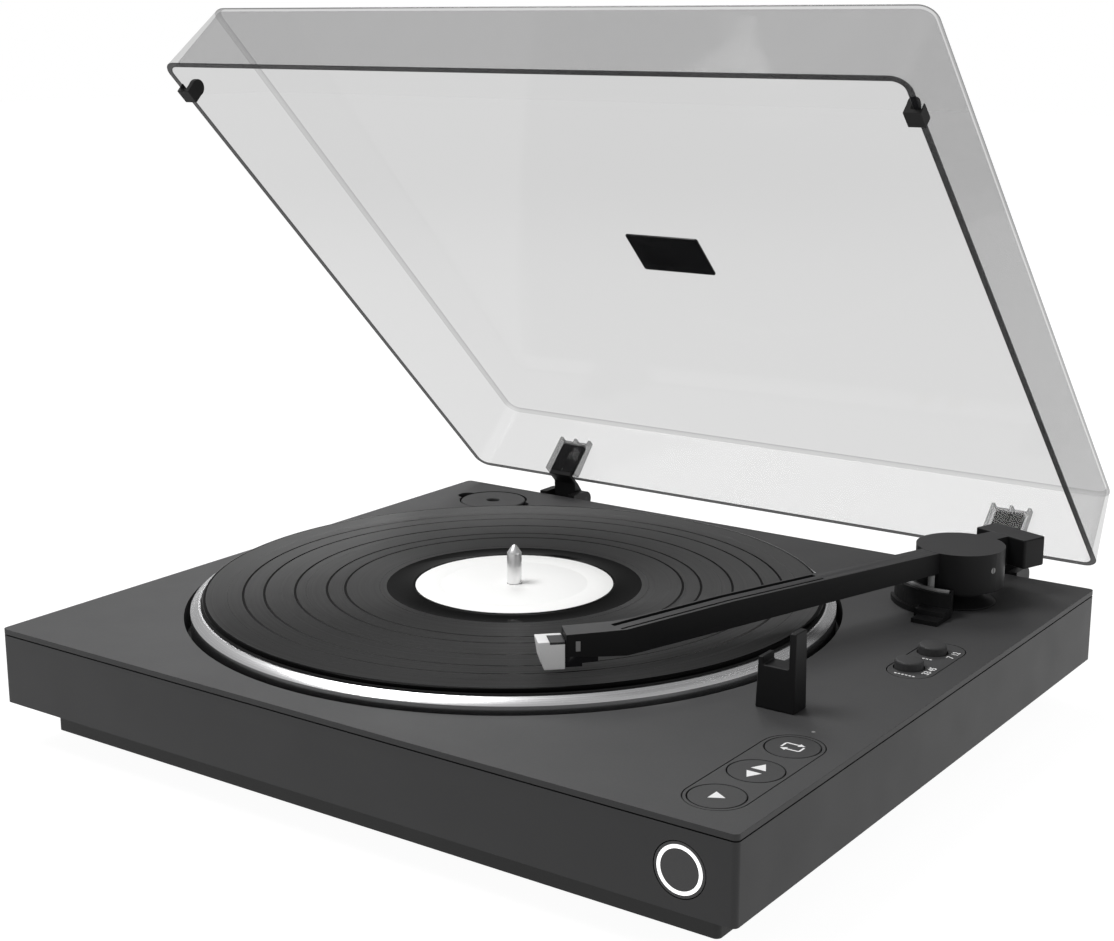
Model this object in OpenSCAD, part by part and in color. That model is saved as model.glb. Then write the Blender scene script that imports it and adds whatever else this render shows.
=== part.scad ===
// Belt-driven automatic record player with an open dust cover.
// Deck coordinates: x from the left edge, y from the front edge, z up from the deck's top face.

/* [Deck] */
// Width of the deck
deck_w = 395; // [380:1:490]
// Depth of the deck
deck_d = 355; // [345:1:440]
// Corner radius of the deck in plan
corner_r = 2.5; // [1:0.5:6]
// Thickness of the top plate
plate_t = 3.1; // [2:0.1:5]
// Height of the cabinet under the top plate
cabinet_h = 33; // [30:1:45]
// Wall thickness of the cabinet
cabinet_wall = 5; // [3:0.5:5.5]
// Height of the shadow gap under the top plate
seam_h = 0.6; // [0.3:0.1:1.5]
// Height of the recessed base pan
pan_h = 15.5; // [12:0.5:22]
// Inset of the base pan from the cabinet
pan_inset = 16; // [10:1:24]
// Height of the rubber feet
foot_h = 5; // [3:0.5:10]
// Diameter of the rubber feet
foot_d = 34; // [20:1:44]

/* [Platter and record] */
// Diameter of the platter
platter_d = 312.8; // [308:0.1:318]
// Gap round the platter in the deck
well_gap = 3.2; // [2:0.1:4]
// Land left of the platter opening
well_margin_x = 8; // [7.5:0.5:40]
// Land in front of the platter opening
well_margin_y = 16.3; // [8:0.1:40]
// Height of the platter's top face over the deck
platter_top = 5.2; // [4:0.1:8]
// Thickness of the slip mat
mat_t = 1.1; // [0.5:0.1:3]
// Diameter of the record
record_d = 301.6; // [298:0.1:302]
// Thickness of the record
record_t = 1.9; // [1.5:0.1:2.5]
// Diameter of the record's label
label_d = 96.8; // [90:0.1:101]
// Diameter of the spindle
spindle_d = 7.16; // [7:0.01:7.2]
// Height of the spindle's tip over the deck
spindle_top = 27.5; // [20:0.5:30]

/* [Belt drive] */
// Diameter of the belt track under the platter
track_d = 192; // [150:1:210]
// Diameter of the motor pulley's belt track
pulley_d = 14; // [8:0.5:18]
// Distance between the spindle and the motor shaft
motor_reach = 126; // [118:1:134]
// Direction of the motor from the spindle, from the x axis
motor_angle = 140; // [100:1:170]
// Thickness of the flat belt
belt_t = 0.8; // [0.5:0.1:1.2]

/* [Tonearm] */
// Pivot's distance right of the spindle
pivot_dx = 178.9; // [170:0.1:190]
// Pivot's distance behind the spindle
pivot_dy = 123.6; // [115:0.1:135]
// Angle of the beam from straight ahead, over the record
arm_angle = 19.3; // [10:0.1:24]
// Diameter of the pivot drum
drum_d = 42.8; // [38:0.1:44]
// Height of the arm's top face over the deck
arm_top = 28.4; // [27:0.1:34]
// Height of the drum
drum_h = 19.3; // [17:0.1:22]
// Width of the beam
beam_w = 11; // [8:0.1:11.2]
// Length of the beam from the pivot to the bend
beam_len = 206; // [190:1:215]
// Angle of the headshell from the beam
head_angle = 26; // [20:0.5:30]
// Length of the headshell from the bend
head_len = 26; // [22:0.5:34]
// Width of the headshell
head_w = 12.3; // [10:0.1:16]
// Highest lift of the arm by the cueing lever, in degrees
lift_angle = 3.5; // [1:0.1:4]

/* [Controls] */
// Distance of the transport buttons from the right edge
button_edge = 23.4; // [18:0.1:24]
// Distance of the first transport button from the front edge
button_front = 25.4; // [20:0.1:40]
// Pitch of the transport buttons
button_pitch = 29; // [25:0.5:31]
// Diameter of the transport buttons
button_d = 21.8; // [16:0.1:24]
// Diameter of the speed and size buttons
knob_d = 12.8; // [10:0.1:15]
// Diameter of the front power button
power_d = 21.8; // [16:0.1:24]
// Radial gap round every button
button_gap = 0.35; // [0.3:0.05:0.6]

/* [Dust cover] */
// Height of the dust cover
lid_h = 41.2; // [38:0.1:60]
// Wall thickness of the dust cover
lid_t = 3; // [2:0.1:4]
// Inset of the dust cover from the deck's sides
lid_side = 1.4; // [0:0.1:6]
// Inset of the dust cover's front rim from the deck's front edge
lid_front = 5.4; // [2:0.1:10]
// Overhang of the dust cover's rear rim behind the deck
lid_rear = 1.6; // [1:0.1:4]
// Gap under the closed dust cover's rim
lid_gap = 2.5; // [1.5:0.1:5]
// Opening angle of the dust cover
lid_open = 44.8; // [30:0.1:70]
// Distance of the hinge axis behind the deck
hinge_back = 12.8; // [11:0.1:18]
// Distance of the hinge axis below the deck's top face
hinge_drop = 3.5; // [2:0.1:6]
// Distance of the left hinge from the left edge
hinge_left = 66.3; // [40:0.1:100]
// Distance of the right hinge from the right edge
hinge_right = 53; // [40:0.1:100]

/* [Hidden] */

$fn = 96;
eps = 0.01;
fit = 0.04;      // radial clearance of a running fit
apart = 0.35;    // clearance between bodies that move past each other

// Heights
deck_top = foot_h + pan_h + cabinet_h + plate_t;
cabinet_top = -plate_t;
cabinet_bottom = -plate_t - cabinet_h;
under_z = cabinet_top + seam_h;   // underside of the top plate
pan_bottom = cabinet_bottom - pan_h;
pan_wall = 2.5;

// Platter and record
platter_r = platter_d / 2;
well_r = platter_r + well_gap;
platter_x = well_margin_x + well_r;
platter_y = well_margin_y + well_r;
well_wall = 1.5;
well_floor = -14;
well_floor_t = 2.5;
bevel_w = 3.8;
bevel_h = 2.7;
rim_low = platter_top + 0.5 - bevel_h;
mat_r = platter_r - bevel_w - 1.1;
mat_top = platter_top + mat_t;
record_top = mat_top + record_t;
spindle_r = spindle_d / 2;
axle_r = spindle_r - 0.5;
track_r = track_d / 2;
pulley_r = pulley_d / 2;
belt_z = -6.5;
belt_h = 5;

// Tonearm
pivot_x = platter_x + pivot_dx;
pivot_y = platter_y + pivot_dy;
drum_r = drum_d / 2;
drum_wall = 2.2;
drum_low = arm_top - drum_h;
pitch_z = arm_top - 8.4;
shaft_r = 5;
pivot_screw_r = 1.5;
weight_front = 29.7;
weight_back = 44.8;
weight_half = 16;
weight_shift = -1.5;
weight_low = arm_top - 14.6;
cart_top = arm_top - 5.6;
holder_low = record_top + 2;
lift_r = drum_r + 2.6;
lift_pin_at = -100;      // direction of the lift pin from the pivot
rest_reach = 180.3;

// Controls
button_x = deck_w - button_edge;
button_r = button_d / 2;
panel_r = button_r + 2.1;
switch_x = button_x - 0.1;
switch_y = 192;
switch_len = 31.8;
switch_r = 10.7;
knob_r = knob_d / 2;
knob_x = switch_x - 2.7;
knob_y = [switch_y + 3.4, switch_y + 28.1];
knob_top = 3.8;
press = 1.2;
knob_press = 2.4;
power_r = power_d / 2;
power_x = button_x - 0.2;
power_z = cabinet_top - 16.4;
ring_out = 9.65;
ring_in = 8.2;
adapter_x = 41.2;
adapter_y = deck_d - 30;
adapter_r = 19.05;
cup_r = adapter_r + 0.9;
cup_depth = 7;
notch_w = 12;
notch_reach = 24.6;

// Dust cover, in its closed place
lid_x0 = lid_side;
lid_x1 = deck_w - lid_side;
lid_y0 = lid_front;
lid_y1 = deck_d + lid_rear;
draft_side = 4.3;
draft_front = 3.6;
draft_rear = 3.2;
lid_corner = 8;
lid_edge = 2;
hinge_y = deck_d + hinge_back;
hinge_z = -hinge_drop;
hinge_x = [hinge_left, deck_w - hinge_right];
tongue_w = 15;
knuckle_r = 5;
hinge_pin_r = 1.6;
base_half = 12.4;
socket_half = 10.8;
socket_out = 3.7;
tongue_t = 2.8;

// Rear sockets
jack_x = deck_w - 110;
jack_z = -19;
jack_half = 46;
jack_plate_t = 2;
rca_r = 4.15;
rca_x = [jack_x - 30, jack_x - 12];
dc_x = jack_x + 33;
line_x = jack_x + 10;

// The open dust cover's farthest point behind the deck fixes the middle of the whole object
function swung_y(y, z) = hinge_y + (y - hinge_y) * cos(lid_open) + (z - hinge_z) * sin(lid_open);
lid_far = max(
    swung_y(lid_y1 - draft_rear, lid_gap + lid_h - lid_edge),
    swung_y(lid_y1 - draft_rear - lid_edge, lid_gap + lid_h)
);
mid_y = lid_far / 2;

module on_deck() {
    translate([-deck_w / 2, -mid_y, deck_top]) children();
}

module at_spindle() {
    on_deck() translate([platter_x, platter_y, 0]) children();
}

module at_pivot() {
    on_deck() translate([pivot_x, pivot_y, 0]) children();
}

// Arm coordinates: the beam points along -y, +x is the arm's outer side
module on_arm() {
    at_pivot() rotate([0, 0, -arm_angle]) children();
}

module on_head() {
    on_arm() translate([0, -beam_len, 0]) rotate([0, 0, -head_angle]) children();
}

module on_lid() {
    on_deck() translate([0, hinge_y, hinge_z]) rotate([-lid_open, 0, 0])
        translate([0, -hinge_y, -hinge_z]) children();
}

module at_motor() {
    at_spindle() rotate([0, 0, motor_angle]) translate([motor_reach, 0, 0]) children();
}

// A straight cylinder between two heights
module post(r, z0, z1) {
    translate([0, 0, z0]) cylinder(r = r, h = z1 - z0);
}

module ring(r_out, r_in, z0, z1) {
    difference() {
        post(r_out, z0, z1);
        post(r_in, z0 - 1, z1 + 1);
    }
}

// A plain box between two corners
module block(a, b) {
    translate(a) cube(b - a);
}

// A plate with rounded corners in plan
module rounded_plate(x0, y0, x1, y1, r, z0, z1) {
    block([x0 + r, y0, z0], [x1 - r, y1, z1]);
    block([x0, y0 + r, z0], [x1, y1 - r, z1]);
    for (x = [x0 + r, x1 - r], y = [y0 + r, y1 - r])
        translate([x, y, 0]) post(r, z0, z1);
}

// A slot with round ends along y, from y0 to y1 between the end centres
module stadium(r, y0, y1, z0, z1) {
    translate([0, y0, 0]) post(r, z0, z1);
    translate([0, y1, 0]) post(r, z0, z1);
    block([-r, y0, z0], [r, y1, z1]);
}

// A pan-head screw with a cross recess, head up at z = 0
module screw(head_r, head_h, shank_r, length) {
    difference() {
        union() {
            post(head_r, 0, head_h);
            post(shank_r, -length, 0);
        }
        for (a = [0, 90]) rotate([0, 0, a])
            block([-head_r * 0.6, -0.4, head_h * 0.4], [head_r * 0.6, 0.4, head_h + 1]);
    }
}

// ---- Deck, cabinet and base ----

module deck_plate() {
    color("#4b4b4b") on_deck() difference() {
        rounded_plate(0, 0, deck_w, deck_d, corner_r, cabinet_top + seam_h, 0);
        translate([platter_x, platter_y, 0]) post(well_r, -plate_t - 1, 1);
        translate([pivot_x, pivot_y, 0]) post(base_sleeve_r + 0.3, -plate_t - 1, 1);
        translate([button_x, button_front, 0])
            stadium(panel_r + 0.2, 0, 2 * button_pitch, -plate_t - 1, 1);
        translate([switch_x, switch_y, 0])
            stadium(switch_r + 0.2, 0, switch_len, -plate_t - 1, 1);
        translate([adapter_x, adapter_y, 0]) adapter_recess(-plate_t - 1, 1);
        translate([button_x - 0.8, lens_y, 0]) post(lens_r, -plate_t - 1, 1);
    }
    // Locating rim that leaves the shadow gap
    color("#303030") on_deck() difference() {
        rounded_plate(1, 1, deck_w - 1, deck_d - 1, corner_r, cabinet_top, cabinet_top + seam_h);
        rounded_plate(cabinet_wall, cabinet_wall, deck_w - cabinet_wall, deck_d - cabinet_wall,
            corner_r, cabinet_top - 1, cabinet_top + 1);
    }
}

lens_y = button_front + 2 * button_pitch + 18.8;
lens_r = 0.8;
base_sleeve_r = 9;

module adapter_recess(z0, z1) {
    post(cup_r, z0, z1);
    rotate([0, 0, 90]) stadium(notch_w / 2, notch_w / 2 - notch_reach, notch_reach - notch_w / 2, z0, z1);
}

module cabinet() {
    color("#3c3c3c") on_deck() difference() {
        rounded_plate(0, 0, deck_w, deck_d, corner_r, cabinet_bottom, cabinet_top);
        rounded_plate(cabinet_wall, cabinet_wall, deck_w - cabinet_wall, deck_d - cabinet_wall,
            corner_r, cabinet_bottom + 3, cabinet_top + 1);
        // The pan's cavity runs on into the cabinet
        block([pan_inset + 12, pan_inset + 12, cabinet_bottom - 1],
            [deck_w - pan_inset - 12, deck_d - pan_inset - 12, cabinet_bottom + 4]);
        translate([power_x, -1, power_z]) rotate([-90, 0, 0])
            cylinder(r = power_r + button_gap, h = cabinet_wall + 2);
        block([jack_x - jack_half + 3, deck_d - cabinet_wall - 1, jack_z - 8],
            [jack_x + jack_half - 3, deck_d + 1, jack_z + 8]);
        for (p = base_screw_places()) translate([p[0], p[1], 0])
            post(1.5, cabinet_bottom - 1, cabinet_bottom + 4);
        for (x = hinge_x, s = [-1, 1]) translate([x + s * 8, deck_d + 1, -14]) rotate([90, 0, 0])
            cylinder(r = 1.5, h = cabinet_wall + 2);
    }
}

function base_screw_places() = [
    for (x = [pan_inset + 6, deck_w / 2, deck_w - pan_inset - 6], y = [pan_inset + 6, deck_d - pan_inset - 6]) [x, y]
];

module base_pan() {
    x1 = deck_w - pan_inset;
    y1 = deck_d - pan_inset;
    color("#303030") on_deck() difference() {
        rounded_plate(pan_inset, pan_inset, x1, y1, corner_r, pan_bottom, cabinet_bottom);
        rounded_plate(pan_inset + 12, pan_inset + 12, x1 - 12, y1 - 12,
            corner_r, pan_bottom + pan_wall, cabinet_bottom + 1);
        for (p = base_screw_places()) translate([p[0], p[1], 0]) {
            post(1.8, pan_bottom - 1, cabinet_bottom + 1);
            post(4, pan_bottom - 1, pan_bottom + 4);
        }
        for (p = foot_places()) translate([p[0], p[1], 0])
            post(2, pan_bottom - 1, pan_bottom + pan_wall + 1);
        // Vent slots
        for (i = [-5:5]) translate([deck_w / 2 + i * 9, deck_d / 2, 0])
            block([-1.5, -22, pan_bottom - 1], [1.5, 22, pan_bottom + pan_wall + 1]);
    }
}

foot_inset = 34;
function foot_places() = [
    for (x = [pan_inset + foot_inset, deck_w - pan_inset - foot_inset],
        y = [pan_inset + foot_inset, deck_d - pan_inset - foot_inset]) [x, y]
];

module feet() {
    color("#161616") on_deck() for (p = foot_places()) translate([p[0], p[1], pan_bottom])
        rotate_extrude() polygon([
            [0, 0], [0, -foot_h + 1], [6, -foot_h + 1], [7, -foot_h], [foot_d / 2 - 2, -foot_h],
            [foot_d / 2, -foot_h + 2], [foot_d / 2, 0]
        ]);
    // Plug that holds each foot in the pan
    color("#161616") on_deck() for (p = foot_places()) translate([p[0], p[1], 0])
        post(1.95, pan_bottom - 0.5, pan_bottom + pan_wall + 1.5);
}

module base_screws() {
    color("silver") on_deck() for (p = base_screw_places())
        translate([p[0], p[1], pan_bottom + 4]) mirror([0, 0, 1])
            screw(3.2, 1.8, 1.45, pan_h - 2);
}

// ---- Platter, record and drive ----

module platter_well() {
    color("#1b1b1b") at_spindle() difference() {
        union() {
            ring(well_r + well_wall, well_r, well_floor, under_z);
            post(well_r + well_wall, well_floor - well_floor_t, well_floor);
        }
        post(bearing_r + 0.1, well_floor - 5, well_floor + 5);
        for (a = [0, 120, 240]) rotate([0, 0, a]) translate([bearing_flange - 3, 0, 0])
            post(1.2, well_floor - 5, well_floor + 5);
        rotate([0, 0, motor_angle]) translate([motor_reach, 0, 0]) {
            post(pulley_r + 3, well_floor - 5, well_floor + 5);
            for (a = [0, 180]) rotate([0, 0, a]) translate([motor_screw_r, 0, 0])
                post(1.6, well_floor - 5, well_floor + 5);
        }
    }
}

bearing_r = 9;
bearing_flange = 17;
bearing_low = -34;
motor_r = 17.5;
motor_screw_r = 13.5;

module spindle_bearing() {
    z_flange = well_floor - well_floor_t;
    color("#9a8a50") at_spindle() difference() {
        union() {
            post(bearing_r, bearing_low - 3, well_floor + 5);
            post(bearing_flange, z_flange - 2.5, z_flange);
        }
        post(axle_r + fit, bearing_low, well_floor + 6);
        for (a = [0, 120, 240]) rotate([0, 0, a]) translate([bearing_flange - 3, 0, 0])
            post(1.2, z_flange - 3, z_flange + 1);
    }
}

module platter() {
    color("silver") at_spindle() difference() {
        rotate_extrude($fn = 180) polygon([
            [axle_r, -6], [13, -6], [13, platter_top - 3], [track_r - 4, platter_top - 3],
            [track_r - 4, belt_z - 4], [track_r, belt_z - 4], [track_r, platter_top - 3],
            [platter_r - 4, platter_top - 3], [platter_r - 4, -9], [platter_r - 0.8, -9],
            [platter_r, -8.2], [platter_r, rim_low], [platter_r - bevel_w, rim_low + bevel_h],
            [mat_r + 0.3, rim_low + bevel_h], [mat_r + 0.3, platter_top], [axle_r, platter_top]
        ]);
        // Window that reaches the pulley and belt, under the mat
        rotate([0, 0, motor_angle]) translate([motor_reach - 6, 0, 0])
            block([-9, -17, platter_top - 4], [9, 17, platter_top + 1]);
    }
}

module slip_mat() {
    color("#141414") at_spindle() ring(mat_r, spindle_r + 0.5, platter_top, mat_top, $fn = 180);
}

module vinyl_record() {
    r = record_d / 2;
    lead = 2.4;     // plain edge outside the first groove
    color("#191919") at_spindle() rotate_extrude($fn = 180) polygon([
        [spindle_r + 0.06, mat_top], [r - 1, mat_top], [r, mat_top + record_t * 0.4],
        [r - 0.5, record_top - 0.1], [r - 1.2, record_top], [r - lead, record_top],
        [r - lead - 0.5, record_top - 0.25], [label_d / 2 + 1.7, record_top - 0.25],
        [label_d / 2 + 1.2, record_top], [label_d / 2 + 0.2, record_top],
        [label_d / 2, record_top - 0.25], [spindle_r + 0.06, record_top - 0.25]
    ]);
}

module record_label() {
    color("white") at_spindle() ring(label_d / 2 - 0.1, spindle_r + 0.1, record_top - 0.25, record_top - 0.1, $fn = 180);
}

module spindle() {
    color("#c8c8c8") at_spindle() rotate_extrude() polygon([
        [0, bearing_low + 0.3], [axle_r - 1, bearing_low + 0.3], [axle_r, bearing_low + 1.5],
        [axle_r, record_top], [spindle_r, record_top], [spindle_r, spindle_top - 4], [0.9, spindle_top - 0.4], [0.4, spindle_top], [0, spindle_top]
    ]);
}

module motor() {
    z_top = well_floor - well_floor_t;
    color("#b0b0b0") at_motor() difference() {
        union() {
            post(motor_r, z_top - 24, z_top);
            post(5, z_top, z_top + 1.8);
        }
        post(1.05, z_top - 8, z_top + 3);
        for (a = [0, 180]) rotate([0, 0, a]) translate([motor_screw_r, 0, 0])
            post(1.3, z_top - 4, z_top + 1);
    }
}

module motor_screws() {
    color("silver") at_motor() for (a = [0, 180]) rotate([0, 0, a])
        translate([motor_screw_r, 0, well_floor]) screw(2.8, 1.6, 1.25, well_floor_t + 3.5);
}

module motor_pulley() {
    z_top = well_floor - well_floor_t;
    color("#c9a14a") at_motor() rotate_extrude() polygon([
        [0, z_top - 6], [1, z_top - 6], [1, belt_z - 2.2], [pulley_r + 1.2, belt_z - 2.2],
        [pulley_r + 1.2, belt_z - 0.8], [pulley_r, belt_z - 0.4], [pulley_r, belt_z + belt_h + 0.4],
        [pulley_r + 1.2, belt_z + belt_h + 0.8], [pulley_r + 1.2, belt_z + belt_h + 1.4],
        [0, belt_z + belt_h + 1.4]
    ]);
}

// The flat belt rides a hair off both tracks
module belt_loop(extra) {
    hull() {
        circle(r = track_r + extra, $fn = 180);
        rotate(motor_angle) translate([motor_reach, 0]) circle(r = pulley_r + extra, $fn = 48);
    }
}

module drive_belt() {
    color("#101010") at_spindle() translate([0, 0, belt_z]) linear_extrude(belt_h) difference() {
        belt_loop(apart + belt_t);
        belt_loop(apart);
    }
}

// ---- Electronics inside ----

module main_board() {
    x0 = deck_w - 150;
    y0 = deck_d - 90;
    floor_z = pan_bottom + pan_wall;
    z0 = floor_z + 5;
    color("#1e5b34") on_deck() {
        block([x0, y0, z0], [x0 + 110, y0 + 56, z0 + 1.6]);
        for (x = [x0 + 4, x0 + 106], y = [y0 + 4, y0 + 52]) translate([x, y, 0])
            post(2.5, floor_z, z0);
    }
    color("#222222") on_deck() {
        for (i = [0:3]) translate([x0 + 20 + i * 14, y0 + 12, 0]) post(4, z0 + 1.6, z0 + 10);
        block([x0 + 80, y0 + 10, z0 + 1.6], [x0 + 94, y0 + 24, z0 + 3]);
        block([x0 + 30, y0 + 28, z0 + 1.6], [x0 + 40, y0 + 36, z0 + 3]);
    }
}

module arm_drive_unit() {
    color("#5a5a5a") at_pivot() difference() {
        union() {
            block([-20, -30, -31], [20, 22, -23]);
            translate([8, -20, 0]) post(8, -23, -12);
            for (x = [-16, 16], y = [-26, 18]) translate([x, y, 0]) post(2.5, -23, under_z);
        }
        post(9.5, -32, -22);
    }
}

// ---- Tonearm ----

module tonearm_base() {
    color("#202020") at_pivot() difference() {
        rotate_extrude() polygon([
            [0, -22], [base_sleeve_r, -22], [base_sleeve_r, -plate_t], [base_sleeve_r, 0], [18, 0], [18, 0.8],
            [13, 3.4], [11.5, 5.2], [11.5, drum_low - 2.2], [0, drum_low - 2.2]
        ]);
        post(shaft_r + fit, -23, drum_low);
    }
}

module arm_yoke() {
    block_half = drum_r - drum_wall - 1.6;
    color("#8a8a8a") on_arm() difference() {
        union() {
            post(shaft_r, -25.5, pitch_z - 3);
            post(shaft_r + 2.5, drum_low - 1.6, drum_low);
            intersection() {
                block([-block_half, -5.5, pitch_z - 4], [block_half, 5.5, pitch_z + 3.6]);
                post(block_half, 0, arm_top);
            }
        }
        for (s = [-1, 1]) translate([s * (block_half - 4), 0, pitch_z]) rotate([0, s * 90, 0])
            cylinder(r = pivot_screw_r + fit, h = 10);
        // Groove for the clip
        ring(shaft_r + 1, shaft_r - 0.8, -24.4, -23.4);
    }
}

module yoke_clip() {
    color("silver") on_arm() difference() {
        post(shaft_r + 3, -24.3, -23.5);
        post(shaft_r - 0.75, -25, -23);
        block([-3, 0, -25], [3, 12, -23]);
    }
}

// Side view of the arm: distance along the beam against height
function arm_profile() = [
    [-drum_r, arm_top], [150, arm_top - 0.3], [beam_len, arm_top - 1.9], [beam_len + head_len + 4, arm_top - 3.2],
    [beam_len + head_len + 4, arm_top - 12.4], [beam_len + 12, arm_top - 13.4], [beam_len, arm_top - 13.6],
    [150, arm_top - 12.2], [60, arm_top - 10.6], [0, arm_top - 10]
];

module arm_plan() {
    half = beam_w / 2;
    polygon([
        [half, 0], [half, -beam_len - 2.6], head_point(head_len, head_w / 2), head_point(head_len, -head_w / 2),
        head_point(4, -head_w / 2), [-half, -beam_len + 8], [-half, 0]
    ]);
}

// A point on the headshell, from the bend and its centre line
function head_point(along, across) = [
    -along * sin(head_angle) + across * cos(head_angle),
    -beam_len - along * cos(head_angle) - across * sin(head_angle)
];

module arm_beam() {
    intersection() {
        linear_extrude(arm_top + 5) arm_plan();
        rotate([90, 0, -90]) translate([0, 0, -40]) linear_extrude(80) polygon(arm_profile());
    }
}

module tonearm() {
    cavity_r = drum_r - drum_wall;
    color("#232323") on_arm() difference() {
        union() {
            post(drum_r, drum_low, arm_top, $fn = 128);
            arm_beam();
            block([-7.5, drum_r - 3, weight_low], [4, weight_front, arm_top]);
        }
        post(cavity_r, drum_low - 1, arm_top - 2.4);
        // Long channels along the top of the beam
        channel(-4.4, -1.6);
        channel(2.5, 3.7);
        for (s = [-1, 1]) translate([0, 0, pitch_z]) rotate([0, s * 90, 0])
            cylinder(r = pivot_screw_r, h = drum_r + 1);
        // Bay for the cartridge under the headshell
        translate([0, -beam_len, 0]) rotate([0, 0, -head_angle])
            block([-cart_half - 0.1, -head_len - 8, 0], [cart_half + 0.1, -head_len + cart_len, cart_top]);
    }
}

channel_from = 94;
channel_depth = 1.3;
cart_half = 5.2;
cart_len = 14;

module channel(x0, x1) {
    intersection() {
        block([x0, -beam_len - 4, 0], [x1, -channel_from, arm_top + 5]);
        rotate([90, 0, -90]) translate([0, 0, -40]) linear_extrude(80) polygon([
            [channel_from, arm_top - channel_depth], [150, arm_top - 0.3 - channel_depth],
            [beam_len, arm_top - 1.9 - channel_depth], [beam_len + 20, arm_top - 2.6 - channel_depth],
            [beam_len + 20, arm_top + 5], [channel_from, arm_top + 5]
        ]);
    }
}

module counterweight() {
    color("#1d1d1d") on_arm() translate([weight_shift, 0, 0]) {
        rounded_plate(-weight_half, weight_front, weight_half, weight_back, 1.5, weight_low, arm_top);
    }
}

module pivot_screws() {
    color("#d0d0d0") on_arm() for (s = [-1, 1]) translate([0, 0, pitch_z]) rotate([0, s * 90, 0])
        translate([0, 0, drum_r - drum_wall - 5]) difference() {
            cylinder(r = pivot_screw_r, h = drum_wall + 4.9);
            translate([-2, -0.25, drum_wall + 4.3]) cube([4, 0.5, 2]);
        }
}

module cartridge() {
    low = holder_low + 0.6;
    color("#181818") on_head() difference() {
        union() {
            block([-cart_half, -head_len - 0.5, low + 1.8], [cart_half, -head_len + cart_len - 0.2, cart_top]);
            block([-cart_half, -head_len - 0.5, low], [cart_half, -head_len + 7, low + 2]);
        }
        // Label recess on each side
        for (s = [-1, 1]) translate([s * cart_half, -head_len + 4.2, 0])
            block([-0.3, -1.8, low + 5], [0.3, 1.8, low + 9.4]);
    }
}

holder_len = 11.5;
holder_half = 5.9;

// The light-coloured block that carries the stylus, its front face leaning back towards the record
module stylus_holder() {
    y0 = -head_len - 0.5;
    top = cart_top - 0.3;
    color("#d8d8d8") on_head() difference() {
        rotate([90, 0, 90]) translate([0, 0, -holder_half]) linear_extrude(2 * holder_half) polygon([
            [y0, holder_low], [y0 - holder_len + 2.6, holder_low], [y0 - holder_len + 1.2, holder_low + 4.2],
            [y0 - holder_len, top], [y0, top]
        ]);
        // Step in the top for the finger
        block([-holder_half + 2.2, y0 - 6.5, top - 1.2], [holder_half + 1, y0 + 1, top + 1]);
        // Slot under the block for the cantilever
        block([-1.2, y0 - holder_len - 1, holder_low - 1], [1.2, y0 + 1, holder_low + 1.2]);
    }
}

module stylus_tip() {
    y0 = -head_len - 6.4;
    color("#c0c0c0") on_head() {
        translate([0, -head_len - 0.5, holder_low + 0.7]) rotate([90, 0, 0]) cylinder(r = 0.35, h = 6.2);
        translate([0, y0, record_top + 0.3])
            cylinder(r1 = 0.12, r2 = 0.4, h = holder_low + 0.4 - record_top);
    }
}

// ---- Cueing lift and arm rest ----

// A part of a ring between two directions, seen from the pivot
module arc_wall(r_out, r_in, from, to, z0, z1) {
    rotate([0, 0, from]) translate([0, 0, z0]) rotate_extrude(angle = to - from)
        translate([r_in, 0]) square([r_out - r_in, z1 - z0]);
}

cue_from = 209;
cue_to = 287;
cue_top = 11.6;
cue_out = 31;
cue_in = 22.9;

module cue_housing() {
    color("#262626") at_pivot() {
        difference() {
            arc_wall(cue_out, cue_in, cue_from, cue_to, 0, cue_top);
            arc_wall(rail_out + apart, rail_in - apart, cue_from + 3, cue_to - 2, -1, cue_top + 1);
            rotate([0, 0, lift_pin_at])
                block([cue_in - 2, -pin_r - apart, -1], [rail_in + 1, pin_r + apart, cue_top + 1]);
        }
        arc_wall(cue_out + 1.6, cue_out - 1, cue_from - 3, cue_to - 1, 0, 2.7);
    }
    // Stepped foot in front of the arc
    color("#262626") at_pivot() difference() {
        union() {
            block([-6, -38, 0], [9, -cue_out + 6, 4.6]);
            block([-4, -45.5, 0], [9, -38, 2.2]);
        }
        post(cue_out - 1.5, -1, cue_top + 1);
    }
}

rail_out = 28.4;
rail_in = 26.2;
pin_r = 1.6;

module cue_lifter() {
    color("#9a9a9a") at_pivot() {
        arc_wall(rail_out, rail_in, cue_from + 4.5, cue_to - 3.5, 1, cue_top + 0.9);
        rotate([0, 0, lift_pin_at]) translate([lift_r, 0, 0]) post(pin_r, 1, arm_top - 10.3 - apart);
        rotate([0, 0, lift_pin_at]) block([lift_r, -1, 1], [rail_in + 0.5, 1, cue_top - 1]);
    }
}

module arm_rest() {
    half = 9;
    depth = 5.4;
    gap_half = beam_w / 2 + 0.4;
    floor_z = 18.8;
    prong_low = 22.2;
    prong_high = 34.4;
    color("#242424") on_deck() translate([pivot_x, pivot_y - rest_reach, 0]) {
        intersection() {
            // Front view, tapering upwards
            rotate([90, 0, 0]) translate([0, 0, -depth]) linear_extrude(2 * depth) polygon([
                [-half, 0], [half + 0.2, 0], [half, prong_high], [gap_half, prong_high], [gap_half, floor_z],
                [-gap_half, floor_z], [-gap_half, prong_low], [-half + 0.7, prong_low]
            ]);
            // Side view, tapering upwards
            rotate([90, 0, 90]) translate([0, 0, -half - 1]) linear_extrude(2 * half + 2) polygon([
                [-depth, 0], [depth, 0], [depth - 0.7, prong_high], [-depth + 0.7, prong_high]
            ]);
        }
    }
}

// ---- Controls ----

module at_button(i) {
    on_deck() translate([button_x, button_front + i * button_pitch, 0]) children();
}

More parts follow.
